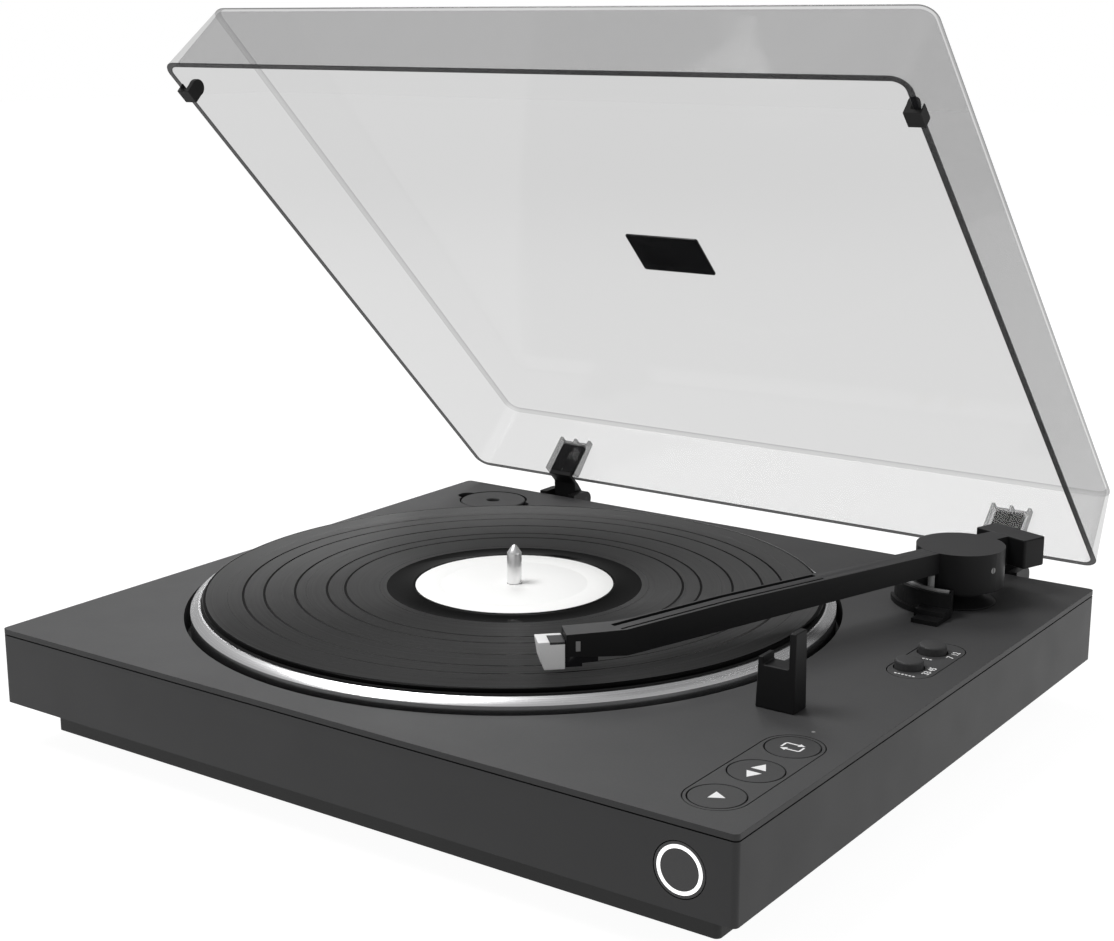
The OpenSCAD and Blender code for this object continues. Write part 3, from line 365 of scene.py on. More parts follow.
def make_finishes():
    deck = bpy.context.scene.deck_settings
    cover = bpy.context.scene.cover_settings
    arm = bpy.context.scene.arm_settings
    GROUPS["grain"] = grain_group()
    scale = 1 / deck.grain
    tone = tuple(deck.deck_tone)
    LOOK.update(
        deck=moulded("Textured top plate", tone, 0.55, scale, 0.00003, 0.5, 0.12),
        case=moulded("Cabinet paint", tuple(deck.case_tone), 0.48, scale * 1.3, 0.00002, 0.3, 0.1),
        pan=moulded("Base paint", (0.02, 0.02, 0.02), 0.6, scale, 0.00002),
        rubber=moulded("Rubber", (0.012, 0.012, 0.012), 0.75, 1800, 0.00002, 0.3),
        dark=moulded("Dark moulding", (0.012, 0.012, 0.013), 0.55, 2600, 0.00001),
        # Arm moulding and the arm's top tone are one moulding in two tones: the lighter top is painted highlight, the
        # darker sides painted shade.
        arm=moulded("Arm moulding", tuple(arm.tone), 0.42, 3000, 0.00001, 0.2, 0.08, 0.0, 0.13),
        arm_top=moulded("Arm top painted light", tuple(arm.painted_light_top_tone), 0.45, 3000, 0.00001, 0.2, 0.08),
        button=moulded("Button moulding", tuple(0.85 * c for c in tone), 0.5, scale, 0.00002, 0.4),
        felt=moulded("Felt", (0.01, 0.01, 0.01), 0.95, 5000, 0.00008, 0.8),
        paper=moulded("Label paper", (0.95, 0.95, 0.94), 0.6, 1400, 0.00001, 0.04),
        white=moulded("Printed white", (0.82, 0.82, 0.82), 0.5, 1500, 0.000004, 0.04),
        pale=moulded("Pale moulding", (0.8, 0.8, 0.8), 0.4, 2200, 0.000006, 0.06),
        grey=moulded("Grey moulding", (0.25, 0.25, 0.25), 0.45, 2200, 0.000006, 0.1),
        gloss=moulded("Gloss black", (0.01, 0.01, 0.011), 0.18, 900, 0.000002, 0.1, 0.05),
        board=moulded("Board", (0.02, 0.12, 0.05), 0.4, 300, 0.00003, 0.5),
        steel=moulded("Plated steel", (0.55, 0.55, 0.56), 0.3, 1200, 0.000003, 0.1, 0.1, 1.0),
        brass=moulded("Gilt brass", (0.75, 0.55, 0.22), 0.28, 900, 0.000003, 0.1, 0.1, 1.0),
        bright=turned("Turned rim", (0.88, 0.88, 0.89), 0.24),
        spindle=turned("Turned spindle", (0.88, 0.88, 0.88), 0.34),
        vinyl=vinyl(),
        cover=clear("Cover acrylic", (0.02, 0.02, 0.021), cover.tint, 0.04, 0.14),
        # The rounded edge is the same acrylic as the pane, made darker and more opaque: painted shade for the dark look
        # of the bend.
        cover_bend=clear("Cover rounded edge painted shade", (0.01, 0.01, 0.011), 0.26, 0.08, 0.74, 0.06),
        cover_edge=clear("Cover sawn edge", (0.008, 0.008, 0.009), cover.edge_tint, 0.25, 0.1, 0.1),
        clear=clear("Clear socket", (0.012, 0.012, 0.013), 0.3, 0.03, 0.6, 0.4),
        ring=glowing("Ring light", (1.0, 1.0, 1.0), 0.72),
    )


# ---------------------------------------------------------------- meshes


def new_piece(name, mesh, material, body, nodes=(), angle=35):
    """Adds a finished piece, says what it rides on and what it stands for."""
    o = bpy.data.objects.new(name, mesh)
    bpy.context.scene.collection.objects.link(o)
    if material is not None:
        mesh.materials.clear()
        mesh.materials.append(material)
    mesh.shade_smooth()
    mesh.set_sharp_from_angle(angle=math.radians(angle))
    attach(o, body)
    if nodes:
        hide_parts(*nodes)
    return o


def round_edges(o, width, segments=3, angle=28):
    m = o.modifiers.new("Edges", "BEVEL")
    m.width = width
    m.segments = segments
    m.limit_method = "ANGLE"
    m.angle_limit = math.radians(angle)
    m.harden_normals = True
    m.miter_outer = "MITER_ARC"
    return o


def softened(node, material, width, body, segments=3, sides=None, shape=None):
    """A merged copy of a CAD node with its edges rounded."""
    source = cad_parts[node]
    bm = bmesh.new()
    bm.from_mesh(source.data)
    bmesh.ops.remove_doubles(bm, verts=bm.verts, dist=2e-6)
    bmesh.ops.dissolve_limit(
        bm, angle_limit=math.radians(0.8), verts=bm.verts, edges=bm.edges, use_dissolve_boundaries=False)
    if shape:
        shape(bm)
    if sides:
        # Upright faces take the second finish; on the tonearm and counterweight this paints the sides darker than the
        # tops as painted shade.
        for f in bm.faces:
            f.material_index = int(abs(f.normal.z) < 0.5)
    mesh = bpy.data.meshes.new(node)
    bm.to_mesh(mesh)
    bm.free()
    for look in (material, sides):
        if look:
            mesh.materials.append(look)
    o = new_piece(node + "_piece", mesh, None, body, (node,))
    if width:
        round_edges(o, width, segments)
    return o


def open_seams(x, low, high, holes, hole_r, outer_r, width=0.25):
    """Widens the dark seams round a long panel and round the buttons in it."""
    def shape(bm):
        for v in bm.verts:
            at = v.co / MM - place(0, 0, 0) / MM
            if at.z < -1.4:
                continue
            for hole in holes:
                away = Vector((at.x - hole[0], at.y - hole[1]))
                if away.length < hole_r + 0.15:
                    break
            else:
                away = Vector((at.x - x, at.y - min(max(at.y, low), high)))
                if abs(away.length - outer_r) > 0.15:
                    continue
                away = -away
            step = away.normalized() * width * MM
            v.co += Vector((step.x, step.y, 0))
    return shape


def lathe(name, profile, centre, steps=192, close=False):
    """Turns (radius, height) points in mm round a vertical axis; a closed profile makes a ring."""
    bm = bmesh.new()
    rings = []
    for r, z in profile:
        if r < 1e-6:
            rings.append([bm.verts.new(Vector((centre.x, centre.y, DECK_HIGH.z + z * MM)))])
        else:
            rings.append([
                bm.verts.new(Vector((
                    centre.x + r * MM * math.cos(math.tau * i / steps),
                    centre.y + r * MM * math.sin(math.tau * i / steps), DECK_HIGH.z + z * MM)))
                for i in range(steps)])
    pairs = list(zip(rings, rings[1:] + rings[:1])) if close else list(zip(rings, rings[1:]))
    for a, b in pairs:
        for i in range(steps):
            j = (i + 1) % steps
            if len(a) == 1 and len(b) == 1:
                break
            if len(a) == 1:
                bm.faces.new((a[0], b[i], b[j]))
            elif len(b) == 1:
                bm.faces.new((a[i], a[j], b[0]))
            else:
                bm.faces.new((a[i], a[j], b[j], b[i]))
    bmesh.ops.recalc_face_normals(bm, faces=bm.faces)
    mesh = bpy.data.meshes.new(name)
    bm.to_mesh(mesh)
    bm.free()
    return mesh


def rounded_loop(x0, y0, x1, y1, r, steps=8):
    """Corner points of a rounded rectangle, anticlockwise."""
    loop = []
    for cx, cy, start in ((x1 - r, y1 - r, 0), (x0 + r, y1 - r, 90), (x0 + r, y0 + r, 180), (x1 - r, y0 + r, 270)):
        for k in range(steps + 1):
            a = math.radians(start + 90 * k / steps)
            loop.append((cx + r * math.cos(a), cy + r * math.sin(a)))
    return loop


def plate(name, loops, z0, z1, bevel=0.0, move=None):
    """A flat sheet with rounded edges and holes, from loops in mm on the deck."""
    curve = bpy.data.curves.new(name, "CURVE")
    curve.dimensions = "2D"
    curve.fill_mode = "BOTH"
    curve.extrude = (z1 - z0) / 2 - bevel
    curve.bevel_depth = bevel
    curve.bevel_resolution = 2
    curve.offset = -bevel
    for loop in loops:
        spline = curve.splines.new("POLY")
        spline.points.add(len(loop) - 1)
        spline.use_cyclic_u = True
        for point, (x, y) in zip(spline.points, loop):
            point.co = (x, y, 0, 1)
    carrier = bpy.data.objects.new(name, curve)
    bpy.context.scene.collection.objects.link(carrier)
    bpy.context.view_layer.update()
    graph = bpy.context.evaluated_depsgraph_get()
    mesh = bpy.data.meshes.new_from_object(carrier.evaluated_get(graph))
    bpy.data.objects.remove(carrier)
    bm = bmesh.new()
    bm.from_mesh(mesh)
    bmesh.ops.remove_doubles(bm, verts=bm.verts, dist=1e-4)
    bmesh.ops.recalc_face_normals(bm, faces=bm.faces)
    bm.to_mesh(mesh)
    bm.free()
    matrix = Matrix.Diagonal((MM, MM, MM, 1))
    mesh.transform(Matrix.Translation(Vector((0, 0, (z0 + z1) / 2))))
    if move is None:
        mesh.transform(Matrix.Translation(place(0, 0, 0)) @ matrix)
    else:
        mesh.transform(move @ matrix)
    mesh.name = name
    return mesh


# ---------------------------------------------------------------- operators


class PLAYER_OT_deck(bpy.types.Operator):
    """Builds the deck, cabinet, base and what is fixed to them"""
    bl_idname = "player.deck"
    bl_label = "Deck and cabinet"

    def execute(self, context):
        edge = context.scene.deck_settings.edge
        softened("deck_plate", LOOK["deck"], edge, "deck", sides=LOOK["case"])
        softened("cabinet", LOOK["case"], edge, "deck")
        softened("base_pan", LOOK["pan"], 0.001, "deck")
        softened("feet", LOOK["rubber"], 0.0006, "deck")
        softened("cue_housing", LOOK["arm"], 0.0004, "deck")
        softened("arm_rest", LOOK["arm"], 0.0006, "deck")
        softened("button_panel", LOOK["deck"], 0.00012, "deck", 2, shape=open_seams(
            371.6, 25.4, 83.4, [(371.6, 25.4 + 29 * i) for i in range(3)], 11.25, 13.0))
        softened("switch_panel", LOOK["deck"], 0.00012, "deck", 2, shape=open_seams(
            371.5, 192, 223.8, [(368.8, 195.4), (368.8, 220.1)], 6.75, 10.7))
        softened("tonearm_base", LOOK["arm"], 0.0003, "deck")
        softened("adapter_cup", LOOK["dark"], 0.0002, "deck")
        softened("hinge_bases", LOOK["arm"], 0.0006, "deck")
        softened("jack_plate", LOOK["dark"], 0.0003, "deck")
        softened("rca_sockets", LOOK["brass"], 0.0003, "deck")
        softened("dc_socket", LOOK["dark"], 0.0003, "deck")
        softened("line_switch_knob", LOOK["button"], 0.0003, "line_switch")
        return {"FINISHED"}


class PLAYER_OT_platter(bpy.types.Operator):
    """Builds the platter, mat, record, label and spindle"""
    bl_idname = "player.platter"
    bl_label = "Platter and record"

    def execute(self, context):
        low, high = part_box("platter")
        top = (high.z - DECK_HIGH.z) / MM
        radius = (high.x - low.x) / 2 / MM + 0.1
        seat = top - 0.5
        hub = 3.08
        profile = [
            (hub, -6), (13, -6), (13, seat - 3), (92, seat - 3), (92, -10.5), (96, -10.5), (96, seat - 3),
            (radius - 4, seat - 3), (radius - 4, -9), (radius - 0.8, -9), (radius, -8.2),
            (radius, top - 2.9), (radius - 0.1, top - 2.75), (radius - 3.6, top - 0.12), (radius - 3.85, top),
            (radius - 4.7, top), (radius - 4.8, top - 0.1), (radius - 4.8, seat), (hub, seat)]
        new_piece("platter_piece", lathe("platter", profile, CENTRE, 256, True), LOOK["bright"],
                  "platter", ("platter",), 20)
        low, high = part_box("slip_mat")
        z0, z1 = (low.z - DECK_HIGH.z) / MM, (high.z - DECK_HIGH.z) / MM
        r = (high.x - low.x) / 2 / MM
        profile = [(4.1, z0), (r - 0.2, z0), (r, z0 + 0.3), (r - 0.05, z1 - 0.2), (r - 0.4, z1), (4.3, z1), (4.1, z1 - 0.2)]
        new_piece("mat_piece", lathe("mat", profile, CENTRE, 256, True), LOOK["felt"], "platter", ("slip_mat",))
        self.record()
        low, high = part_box("spindle")
        z0, z1 = (low.z - DECK_HIGH.z) / MM, (high.z - DECK_HIGH.z) / MM
        step = (RECORD_HIGH.z - DECK_HIGH.z) / MM
        profile = [(0, z0), (2.2, z0), (3.08, z0 + 1.2), (3.08, step), (3.58, step), (3.58, z1 - 4.3), (3.5, z1 - 4.0),
                   (3.2, z1 - 3.5), (1.2, z1 - 0.55), (0.75, z1 - 0.18), (0.35, z1 - 0.03), (0, z1)]
        new_piece("spindle_piece", lathe("spindle", profile, CENTRE, 64), LOOK["spindle"],
                  "platter", ("spindle",), 50)
        return {"FINISHED"}

    def record(self):
        z0, z1 = (RECORD_LOW.z - DECK_HIGH.z) / MM, (RECORD_HIGH.z - DECK_HIGH.z) / MM
        r, label = RECORD_R, 48.4
        profile = [
            (3.64, z0 + 0.1), (3.8, z0), (r - 1.2, z0), (r - 0.35, z0 + 0.25), (r, z0 + 0.75), (r - 0.1, z0 + 1.15),
            (r - 0.5, z1 - 0.15), (r - 1.2, z1), (r - 2.4, z1), (r - 2.9, z1 - 0.25)]
        profile += [
            (DEAD_WAX + 0.2, z1 - 0.25), (DEAD_WAX - 0.1, z1 - 0.29), (label + 2.1, z1 - 0.29), (label + 1.8, z1 - 0.2),
            (label + 1.5, z1 - 0.05), (label + 1.2, z1), (label + 0.9, z1 - 0.05), (label + 0.4, z1 - 0.28),
            (3.8, z1 - 0.28), (3.64, z1 - 0.36)]
        new_piece("record_piece", lathe("record", profile, CENTRE, 256, True), LOOK["vinyl"],
                  "platter", ("vinyl_record",), 50)
        profile = [(3.75, z1 - 0.27), (label - 0.1, z1 - 0.27), (label, z1 - 0.2), (label - 0.15, z1 - 0.12),
                   (36.2, z1 - 0.12), (36.0, z1 - 0.17), (35.6, z1 - 0.17), (35.4, z1 - 0.12),
                   (3.9, z1 - 0.12), (3.75, z1 - 0.16)]
        new_piece("label_piece", lathe("label", profile, CENTRE, 192, True), LOOK["paper"],
                  "platter", ("record_label",))


class PLAYER_OT_arm(bpy.types.Operator):
    """Builds the tonearm, its weight, cartridge and lift"""
    bl_idname = "player.arm"
    bl_label = "Tonearm"

    def execute(self, context):
        edge = context.scene.arm_settings.edge
        # The beam's and counterweight's tops take the lighter top tone and their sides the darker arm moulding: painted
        # light on one moulding.
        softened("tonearm", LOOK["arm_top"], edge, "tonearm", sides=LOOK["arm"])
        softened("counterweight", LOOK["arm_top"], 0.0007, "tonearm", sides=LOOK["arm"])
        softened("cartridge", LOOK["gloss"], 0.0002, "tonearm", 2)
        softened("stylus_holder", LOOK["pale"], 0.0003, "tonearm")
        softened("cue_lifter", LOOK["grey"], 0.0003, "cue_lifter")
        self.head_block("headshell_catch", (6.0, -22, 17.9), (6.3, -20, 22.3), LOOK["grey"])
        # The finger step takes the arm's lighter top tone, painted highlight.
        self.head_block("finger_step", (-3.6, -32.9, 21.3), (5.9, -26.6, 22.35), LOOK["arm_top"])
        return {"FINISHED"}

    def head_block(self, name, low, high, material):
        """A small block given in mm along and across the headshell, from the beam's bend."""
        head = (Matrix.Translation(place(346.5, 299.5, 0)) @ Matrix.Rotation(math.radians(-19.3), 4, "Z")
                @ Matrix.Translation((0, -206 * MM, 0)) @ Matrix.Rotation(math.radians(-26), 4, "Z"))
        low, high = Vector(low), Vector(high)
        bm = bmesh.new()
        bmesh.ops.create_cube(bm, size=1)
        for v in bm.verts:
            v.co = head @ (((low + high) / 2 + v.co * (high - low)) * MM)
        mesh = bpy.data.meshes.new(name)
        bm.to_mesh(mesh)
        bm.free()
        round_edges(new_piece(name, mesh, material, "tonearm"), 0.0001, 2)


class PLAYER_OT_controls(bpy.types.Operator):
    """Builds the buttons, their marks, the power ring and the stored adapter"""
    bl_idname = "player.controls"
    bl_label = "Controls"

    def execute(self, context):
        for node in ("play_button", "cue_button", "repeat_button"):
            softened(node, LOOK["button"], 0.00015, node, 2)
        softened("speed_button", LOOK["button"], 0.0005, "speed_button")
        softened("size_button", LOOK["button"], 0.0005, "size_button")
        softened("power_button", LOOK["button"], 0.0003, "power_button")
        softened("adapter_45", LOOK["deck"], 0.0003, "adapter_45")
        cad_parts["power_ring"].data.materials[0] = LOOK["ring"]
        self.marks()
        return {"FINISHED"}

    def mark(self, name, loops, body):
        lift = 0.05
        new_piece(name, plate(name, loops, 0.0, lift), LOOK["white"], body)

    def marks(self):
        self.mark("play_mark", [[(369.4, 22.2), (375.1, 25.5), (369.4, 28.8)]], "play_button")
        self.mark("cue_up_mark", [[(368.4, 56.0), (374.9, 56.0), (371.65, 61.9)]], "cue_button")
        self.mark("cue_down_mark", [[(368.3, 53.0), (371.55, 47.2), (374.8, 53.0)]], "cue_button")
        self.repeat_mark(371.6, 83.4)

    def repeat_mark(self, cx, cy):
        """Two bent arrows chasing each other round a loop."""
        half_w, half_h, line = 4.6, 3.3, 0.8
        for k, turn in enumerate((1, -1)):
            def at(x, y):
                return (cx + turn * x, cy + turn * y)
            r = 1.3
            outer = [(-half_w, -half_h + 1.7)]
            outer += [(-half_w, half_h - r)]
            outer += [(-half_w + r - r * math.cos(a), half_h - r + r * math.sin(a))
                      for a in [math.radians(15 * s) for s in range(1, 7)]]
            outer += [(1.4, half_h), (1.4, half_h + 1.15), (4.0, half_h - line / 2), (1.4, half_h - line - 1.15),
                      (1.4, half_h - line)]
            s = r - line
            inner = [(-half_w + r - s * math.sin(a), half_h - r + s * math.cos(a))
                     for a in [math.radians(15 * t) for t in range(0, 7)]]
            inner += [(-half_w + line, -half_h + 1.7)]
            loop = [at(x, y) for x, y in outer + inner]
            self.mark("repeat_mark_%d" % k, [loop[::-1]], "repeat_button")


class PLAYER_OT_figures(bpy.types.Operator):
    """Adds the numbers beside the speed and size buttons and the short dashes above them"""
    bl_idname = "player.figures"
    bl_label = "Figures"

    def execute(self, context):
        for text, x, y in (("33", 380.0, 190.1), ("45", 380.0, 195.9), ("7", 380.0, 215.2), ("12", 380.0, 221.0)):
            self.figure(text, x, y)
        for k, (x, y, w) in enumerate(((366.6, 184.8, 10.2), (368.6, 209.4, 6.6))):
            steps = int(w / 1.7)
            for i in range(steps):
                loop = rounded_loop(x + i * 1.7, y - 0.2, x + i * 1.7 + 1.15, y + 0.8, 0.25, 3)
                new_piece("dash_%d_%d" % (k, i), plate("dash", [loop], 0.0, 0.05), LOOK["white"], "deck")
        return {"FINISHED"}

    def figure(self, text, x, y):
        curve = bpy.data.curves.new("figure_" + text, "FONT")
        curve.body = text
        curve.size = 4.6
        curve.extrude = 0.025
        curve.offset = 0.08
        curve.align_x = "CENTER"
        carrier = bpy.data.objects.new("figure_" + text, curve)
        bpy.context.scene.collection.objects.link(carrier)
        bpy.context.view_layer.update()
        graph = bpy.context.evaluated_depsgraph_get()
        mesh = bpy.data.meshes.new_from_object(carrier.evaluated_get(graph))
        bpy.data.objects.remove(carrier)
        turn = Matrix.Rotation(math.radians(90), 4, "Z")
        mesh.transform(Matrix.Translation(place(x, y + 2.4, 0.025)) @ Matrix.Diagonal((MM, MM, MM, 1)) @ turn)
        bm = bmesh.new()
        bm.from_mesh(mesh)
        bmesh.ops.remove_doubles(bm, verts=bm.verts, dist=1e-6)
        bm.to_mesh(mesh)
        bm.free()
        new_piece("figure_" + text, mesh, LOOK["white"], "deck")


class PLAYER_OT_cover(bpy.types.Operator):
    """Builds the clear dust cover with its badge, bumpers and hinges"""
    bl_idname = "player.cover"
    bl_label = "Dust cover"

    def execute(self, context):
        self.shell()
        softened("hinge_sockets", LOOK["clear"], 0.0003, "dust_cover")
        softened("hinge_tongues", LOOK["arm"], 0.0004, "dust_cover")
        softened("lid_badge", LOOK["gloss"], 0.0003, "dust_cover")
        softened("lid_bumpers", LOOK["rubber"], 0.0004, "dust_cover")
        return {"FINISHED"}

    def shell(self):
        """Outer and inner skins lofted from rounded rectangles, then swung open about the hinge."""
        width, side, front, rear, gap, height, wall = 395, 1.4, 5.4, 356.6, 2.5, 41.2, 3.0
        draft = (4.3, 3.6, 3.2)

        def loop(z, shrink, r):
            k = z / height
            return [(x, y, gap + z) for x, y in rounded_loop(
                side + draft[0] * k + shrink, front + draft[1] * k + shrink,
                width - side - draft[0] * k - shrink, rear - draft[2] * k - shrink, r, 10)]

        outer = [loop(0.0, 0.35, 7.6), loop(0.35, 0.0, 8)]
        edge = 2.0
        outer += [loop(height * f, 0.0, 8) for f in (0.3, 0.6, 0.9)]
        outer += [loop(height - edge + edge * math.sin(a), edge - edge * math.cos(a), 8 - edge + edge * math.cos(a))
                  for a in [math.radians(d) for d in range(0, 91, 15)]]
        # The wall thins from its sawn edge towards the top
        thin = 1.5
        inner_top = height - thin
        inner_edge = 1.0
        inner = [loop(0.0, wall - 0.35, 5.4), loop(0.35, wall, 5)]
        inner += [loop(inner_top * f, wall + (thin - wall) * f, 5 + (wall - thin) * f) for f in (0.3, 0.6, 0.9)]
        inner += [loop(inner_top - inner_edge + inner_edge * math.sin(a), thin + inner_edge * (1 - math.cos(a)), 6)
                  for a in [math.radians(d) for d in range(0, 91, 22)]]
        swing = math.radians(-44.8)
        hinge = place(0, 367.8, -3.5)
        turn = Matrix.Translation(hinge) @ Matrix.Rotation(swing, 4, "X") @ Matrix.Translation(-hinge)
        bm = bmesh.new()

        def verts(points):
            return [bm.verts.new(turn @ place(*p)) for p in points]

        def strip(a, b, index):
            for i in range(len(a)):
                j = (i + 1) % len(a)
                bm.faces.new((a[i], a[j], b[j], b[i])).material_index = index

        out = [verts(p) for p in outer]
        ins = [verts(p) for p in inner]
        # Rows from here to the top take the darker rounded-edge finish, painted shade on the bend.
        bend = len(out) - 7
        for k, (a, b) in enumerate(zip(out, out[1:])):
            strip(a, b, 1 if k == 0 else 2 if k >= bend else 0)
        for a, b in zip(ins, ins[1:]):
            strip(b, a, 1 if a is ins[0] else 0)
        strip(ins[0], out[0], 1)
        bm.faces.new(out[-1]).material_index = 0
        bm.faces.new(ins[-1][::-1]).material_index = 0
        bmesh.ops.recalc_face_normals(bm, faces=bm.faces)
        mesh = bpy.data.meshes.new("cover")
        bm.to_mesh(mesh)
        bm.free()
        for look in ("cover", "cover_edge", "cover_bend"):
            mesh.materials.append(LOOK[look])
        return new_piece("cover_piece", mesh, None, "dust_cover", ("dust_cover",))


class PLAYER_OT_screws(bpy.types.Operator):
    """Sets the base and hinge screws with a geometry node tree"""
    bl_idname = "player.screws"
    bl_label = "Screws"

    def execute(self, context):
        inset = 16 + 6
        base = [place(x, y, -51.6 + 4) for x in (inset, 395 / 2, 395 - inset) for y in (inset, 355 - inset)]
        self.set("base_screws_piece", base, (math.pi, 0, 0), 3.2, 1.8, 1.45, 13.5, "base_screws")
        rear = [place(x + s * 8, 355 + 3, -14) for x in (66.3, 342) for s in (-1, 1)]
        self.set("hinge_screws_piece", rear, (-math.pi / 2, 0, 0), 2.9, 1.6, 1.45, 7.8, "hinge_screws")
        return {"FINISHED"}

    def set(self, name, points, turn, head_r, head_h, shank_r, length, node):
        mesh = bpy.data.meshes.new(name)
        mesh.from_pydata([tuple(p) for p in points], [], [])
        o = bpy.data.objects.new(name, mesh)
        bpy.context.scene.collection.objects.link(o)
        tree = self.tree()
        m = o.modifiers.new("Screws", "NODES")
        m.node_group = tree
        values = {"Head radius": head_r * MM, "Head height": head_h * MM, "Shank radius": shank_r * MM,
                  "Length": length * MM, "Turn": turn, "Finish": LOOK["steel"]}
        for item in tree.interface.items_tree:
            if item.item_type == "SOCKET" and item.in_out == "INPUT" and item.name in values:
                m[item.identifier] = values[item.name]
        bpy.context.view_layer.update()
        graph = bpy.context.evaluated_depsgraph_get()
        made = bpy.data.meshes.new_from_object(o.evaluated_get(graph))
        bpy.data.objects.remove(o)
        new_piece(name, made, None, "deck", (node,))

    def tree(self):
        found = bpy.data.node_groups.get("Screw row")
        if found:
            return found
        tree = bpy.data.node_groups.new("Screw row", "GeometryNodeTree")
        face = tree.interface
        face.new_socket("Geometry", in_out="INPUT", socket_type="NodeSocketGeometry")
        for label in ("Head radius", "Head height", "Shank radius", "Length"):
            face.new_socket(label, in_out="INPUT", socket_type="NodeSocketFloat")
        face.new_socket("Turn", in_out="INPUT", socket_type="NodeSocketVector")
        face.new_socket("Finish", in_out="INPUT", socket_type="NodeSocketMaterial")
        face.new_socket("Geometry", in_out="OUTPUT", socket_type="NodeSocketGeometry")
        n, link = tree.nodes, tree.links
        i, o = n.new("NodeGroupInput"), n.new("NodeGroupOutput")

        def cone(top, bottom, depth, shift, sides=32):
            c = n.new("GeometryNodeMeshCone")
            c.inputs["Vertices"].default_value = sides
            for key, value in (("Radius Top", top), ("Radius Bottom", bottom), ("Depth", depth)):
                if isinstance(value, float):
                    c.inputs[key].default_value = value
                else:
                    link.new(value, c.inputs[key])
            t = n.new("GeometryNodeTransform")
            link.new(c.outputs["Mesh"], t.inputs["Geometry"])
            place_at = n.new("ShaderNodeCombineXYZ")
            if isinstance(shift, float):
                place_at.inputs["Z"].default_value = shift
            else:
                link.new(shift, place_at.inputs["Z"])
            link.new(place_at.outputs["Vector"], t.inputs["Translation"])
            return t.outputs["Geometry"]

        def maths(kind, a, b):
            m = n.new("ShaderNodeMath")
            m.operation = kind
            for slot_index, v in enumerate((a, b)):
                if isinstance(v, (int, float)):
                    m.inputs[slot_index].default_value = v
                else:
                    link.new(v, m.inputs[slot_index])
            return m.outputs[0]

        head_r, head_h = i.outputs["Head radius"], i.outputs["Head height"]
        rim = cone(maths("MULTIPLY", head_r, 0.8), head_r, head_h, 0.0)
        shank = cone(i.outputs["Shank radius"], i.outputs["Shank radius"], i.outputs["Length"],
                     maths("MULTIPLY", i.outputs["Length"], -1.0), 24)
        cuts = []
        for angle in (0.0, math.pi / 2):
            bar = n.new("GeometryNodeMeshCube")
            size = n.new("ShaderNodeCombineXYZ")
            link.new(maths("MULTIPLY", head_r, 1.1), size.inputs["X"])
            link.new(maths("MULTIPLY", head_r, 0.26), size.inputs["Y"])
            link.new(head_h, size.inputs["Z"])
            link.new(size.outputs["Vector"], bar.inputs["Size"])
            t = n.new("GeometryNodeTransform")
            t.inputs["Rotation"].default_value = (0, 0, angle)
            lift = n.new("ShaderNodeCombineXYZ")
            link.new(maths("MULTIPLY", head_h, 0.95), lift.inputs["Z"])
            link.new(lift.outputs["Vector"], t.inputs["Translation"])
            link.new(bar.outputs["Mesh"], t.inputs["Geometry"])
            cuts.append(t.outputs["Geometry"])
        cut = n.new("GeometryNodeMeshBoolean")
        cut.operation = "DIFFERENCE"
        link.new(rim, cut.inputs["Mesh 1"])
        for c in cuts:
            link.new(c, cut.inputs["Mesh 2"])
        both = n.new("GeometryNodeJoinGeometry")
        link.new(cut.outputs["Mesh"], both.inputs["Geometry"])
        link.new(shank, both.inputs["Geometry"])
        spread = n.new("GeometryNodeInstanceOnPoints")
        link.new(i.outputs["Geometry"], spread.inputs["Points"])
        link.new(both.outputs["Geometry"], spread.inputs["Instance"])
        link.new(i.outputs["Turn"], spread.inputs["Rotation"])
        real = n.new("GeometryNodeRealizeInstances")
        link.new(spread.outputs["Instances"], real.inputs["Geometry"])
        finish = n.new("GeometryNodeSetMaterial")
        link.new(real.outputs["Geometry"], finish.inputs["Geometry"])
        link.new(i.outputs["Finish"], finish.inputs["Material"])
        link.new(finish.outputs["Geometry"], o.inputs["Geometry"])
        return tree


class PLAYER_OT_hidden(bpy.types.Operator):
    """Gives the CAD pieces that stay their finishes"""
    bl_idname = "player.inside"
    bl_label = "Inside pieces"

    def execute(self, context):
        looks = {
            "platter_well": "dark", "spindle_bearing": "brass", "motor": "steel", "motor_screws": "steel",
            "drive_belt": "rubber", "main_board": "board", "arm_drive_unit": "grey", "button_board": "board",
            "status_lens": "grey", "switch_board": "board", "power_switch": "dark", "hinge_pins": "dark",
            "motor_pulley": "brass", "arm_yoke": "steel", "yoke_clip": "steel", "pivot_screws": "grey",
            "stylus_tip": "steel"}
        for node, look in looks.items():
            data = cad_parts[node].data
            data.materials.clear()
            data.materials.append(LOOK[look])
        return {"FINISHED"}


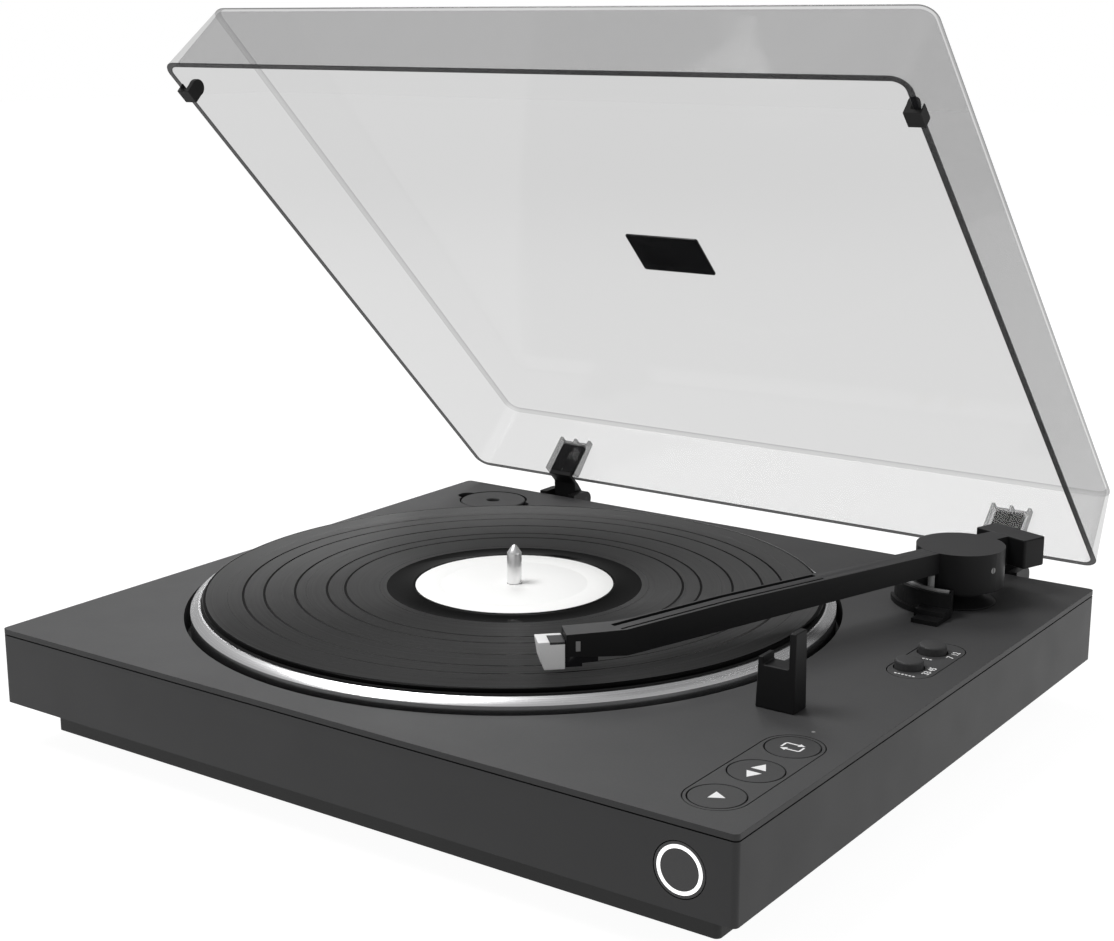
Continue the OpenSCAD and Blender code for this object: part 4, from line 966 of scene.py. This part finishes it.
class PLAYER_OT_stage(bpy.types.Operator):
    """Builds the floor, soft lights and camera"""
    bl_idname = "player.stage"
    bl_label = "Studio"

    def execute(self, context):
        mesh = bpy.data.meshes.new("floor")
        s = 6.0
        mesh.from_pydata([(-s, -s, 0), (s, -s, 0), (s, s, 0), (-s, s, 0)], [], [(0, 1, 2, 3)])
        floor = bpy.data.objects.new("floor", mesh)
        context.scene.collection.objects.link(floor)
        mat, n, link, shader = node_tree("Pale floor")
        shader.inputs["Base Color"].default_value = (0.15, 0.15, 0.15, 1)
        shader.inputs["Emission Color"].default_value = (1, 1, 1, 1)
        shader.inputs["Emission Strength"].default_value = 0.95
        shader.inputs["Roughness"].default_value = 0.9
        shader.inputs["Specular IOR Level"].default_value = 0.1
        mesh.materials.append(mat)
        world = bpy.data.worlds.new("Studio")
        world.use_nodes = True
        n, link = world.node_tree.nodes, world.node_tree.links
        n["Background"].inputs["Color"].default_value = (1, 1, 1, 1)
        path = n.new("ShaderNodeLightPath")
        level = n.new("ShaderNodeMapRange")
        level.inputs["To Min"].default_value = 0.36
        level.inputs["To Max"].default_value = 1.0
        link.new(path.outputs["Is Camera Ray"], level.inputs["Value"])
        link.new(level.outputs["Result"], n["Background"].inputs["Strength"])
        context.scene.world = world
        self.softbox("key", (-1.15, 1.25, 1.7), (0, 0, 0.05), 0.8, 14)
        self.softbox("top", (-0.45, -0.38, 1.25), (0, 0, 0.05), 0.6, 13.5)
        self.softbox("side", (1.9, 0.1, 0.9), (0, 0, 0.05), 0.8, 3)
        self.camera(context)
        return {"FINISHED"}

    def softbox(self, name, at, target, size, power):
        data = bpy.data.lights.new(name, "AREA")
        data.shape = "SQUARE"
        data.size = size
        data.energy = power
        o = bpy.data.objects.new(name, data)
        bpy.context.scene.collection.objects.link(o)
        o.location = at
        o.rotation_euler = (Vector(target) - Vector(at)).to_track_quat("-Z", "Y").to_euler()

    def camera(self, context):
        data = bpy.data.cameras.new("camera")
        data.sensor_width = 36
        data.lens = 60.28
        data.clip_start = 0.02
        o = bpy.data.objects.new("camera", data)
        context.scene.collection.objects.link(o)
        o.location = place(691.47, -527.39, 275.70)
        turn, look_down = math.radians(35.318), math.radians(13.538)
        o.rotation_euler = (math.pi / 2 - look_down, 0, turn)
        context.scene.camera = o
        context.scene.view_settings.view_transform = "Standard"


class PLAYER_PT_panel(bpy.types.Panel):
    """Lists the sizes, finishes and building steps"""
    bl_label = "Record player"
    bl_idname = "PLAYER_PT_panel"
    bl_space_type = "VIEW_3D"
    bl_region_type = "UI"
    bl_category = "Record player"

    def draw(self, context):
        for settings in (context.scene.deck_settings, context.scene.cover_settings, context.scene.arm_settings):
            for key in settings.bl_rna.properties.keys():
                if key not in ("rna_type", "name"):
                    self.layout.prop(settings, key)
        for op in STEPS:
            self.layout.operator(op.bl_idname)


STEPS = (PLAYER_OT_hidden, PLAYER_OT_deck, PLAYER_OT_platter, PLAYER_OT_arm, PLAYER_OT_controls,
         PLAYER_OT_figures, PLAYER_OT_cover, PLAYER_OT_screws, PLAYER_OT_stage)
CLASSES = (DeckSettings, CoverSettings, ArmSettings, *STEPS, PLAYER_PT_panel)


def register():
    for c in CLASSES:
        bpy.utils.register_class(c)
    bpy.types.Scene.deck_settings = bpy.props.PointerProperty(type=DeckSettings)
    bpy.types.Scene.cover_settings = bpy.props.PointerProperty(type=CoverSettings)
    bpy.types.Scene.arm_settings = bpy.props.PointerProperty(type=ArmSettings)


def unregister():
    del bpy.types.Scene.deck_settings, bpy.types.Scene.cover_settings, bpy.types.Scene.arm_settings
    for c in reversed(CLASSES):
        bpy.utils.unregister_class(c)


def main():
    register()
    make_finishes()
    for step in STEPS:
        group, verb = step.bl_idname.split(".")
        getattr(getattr(bpy.ops, group), verb)()


if __name__ == "__main__":
    main()
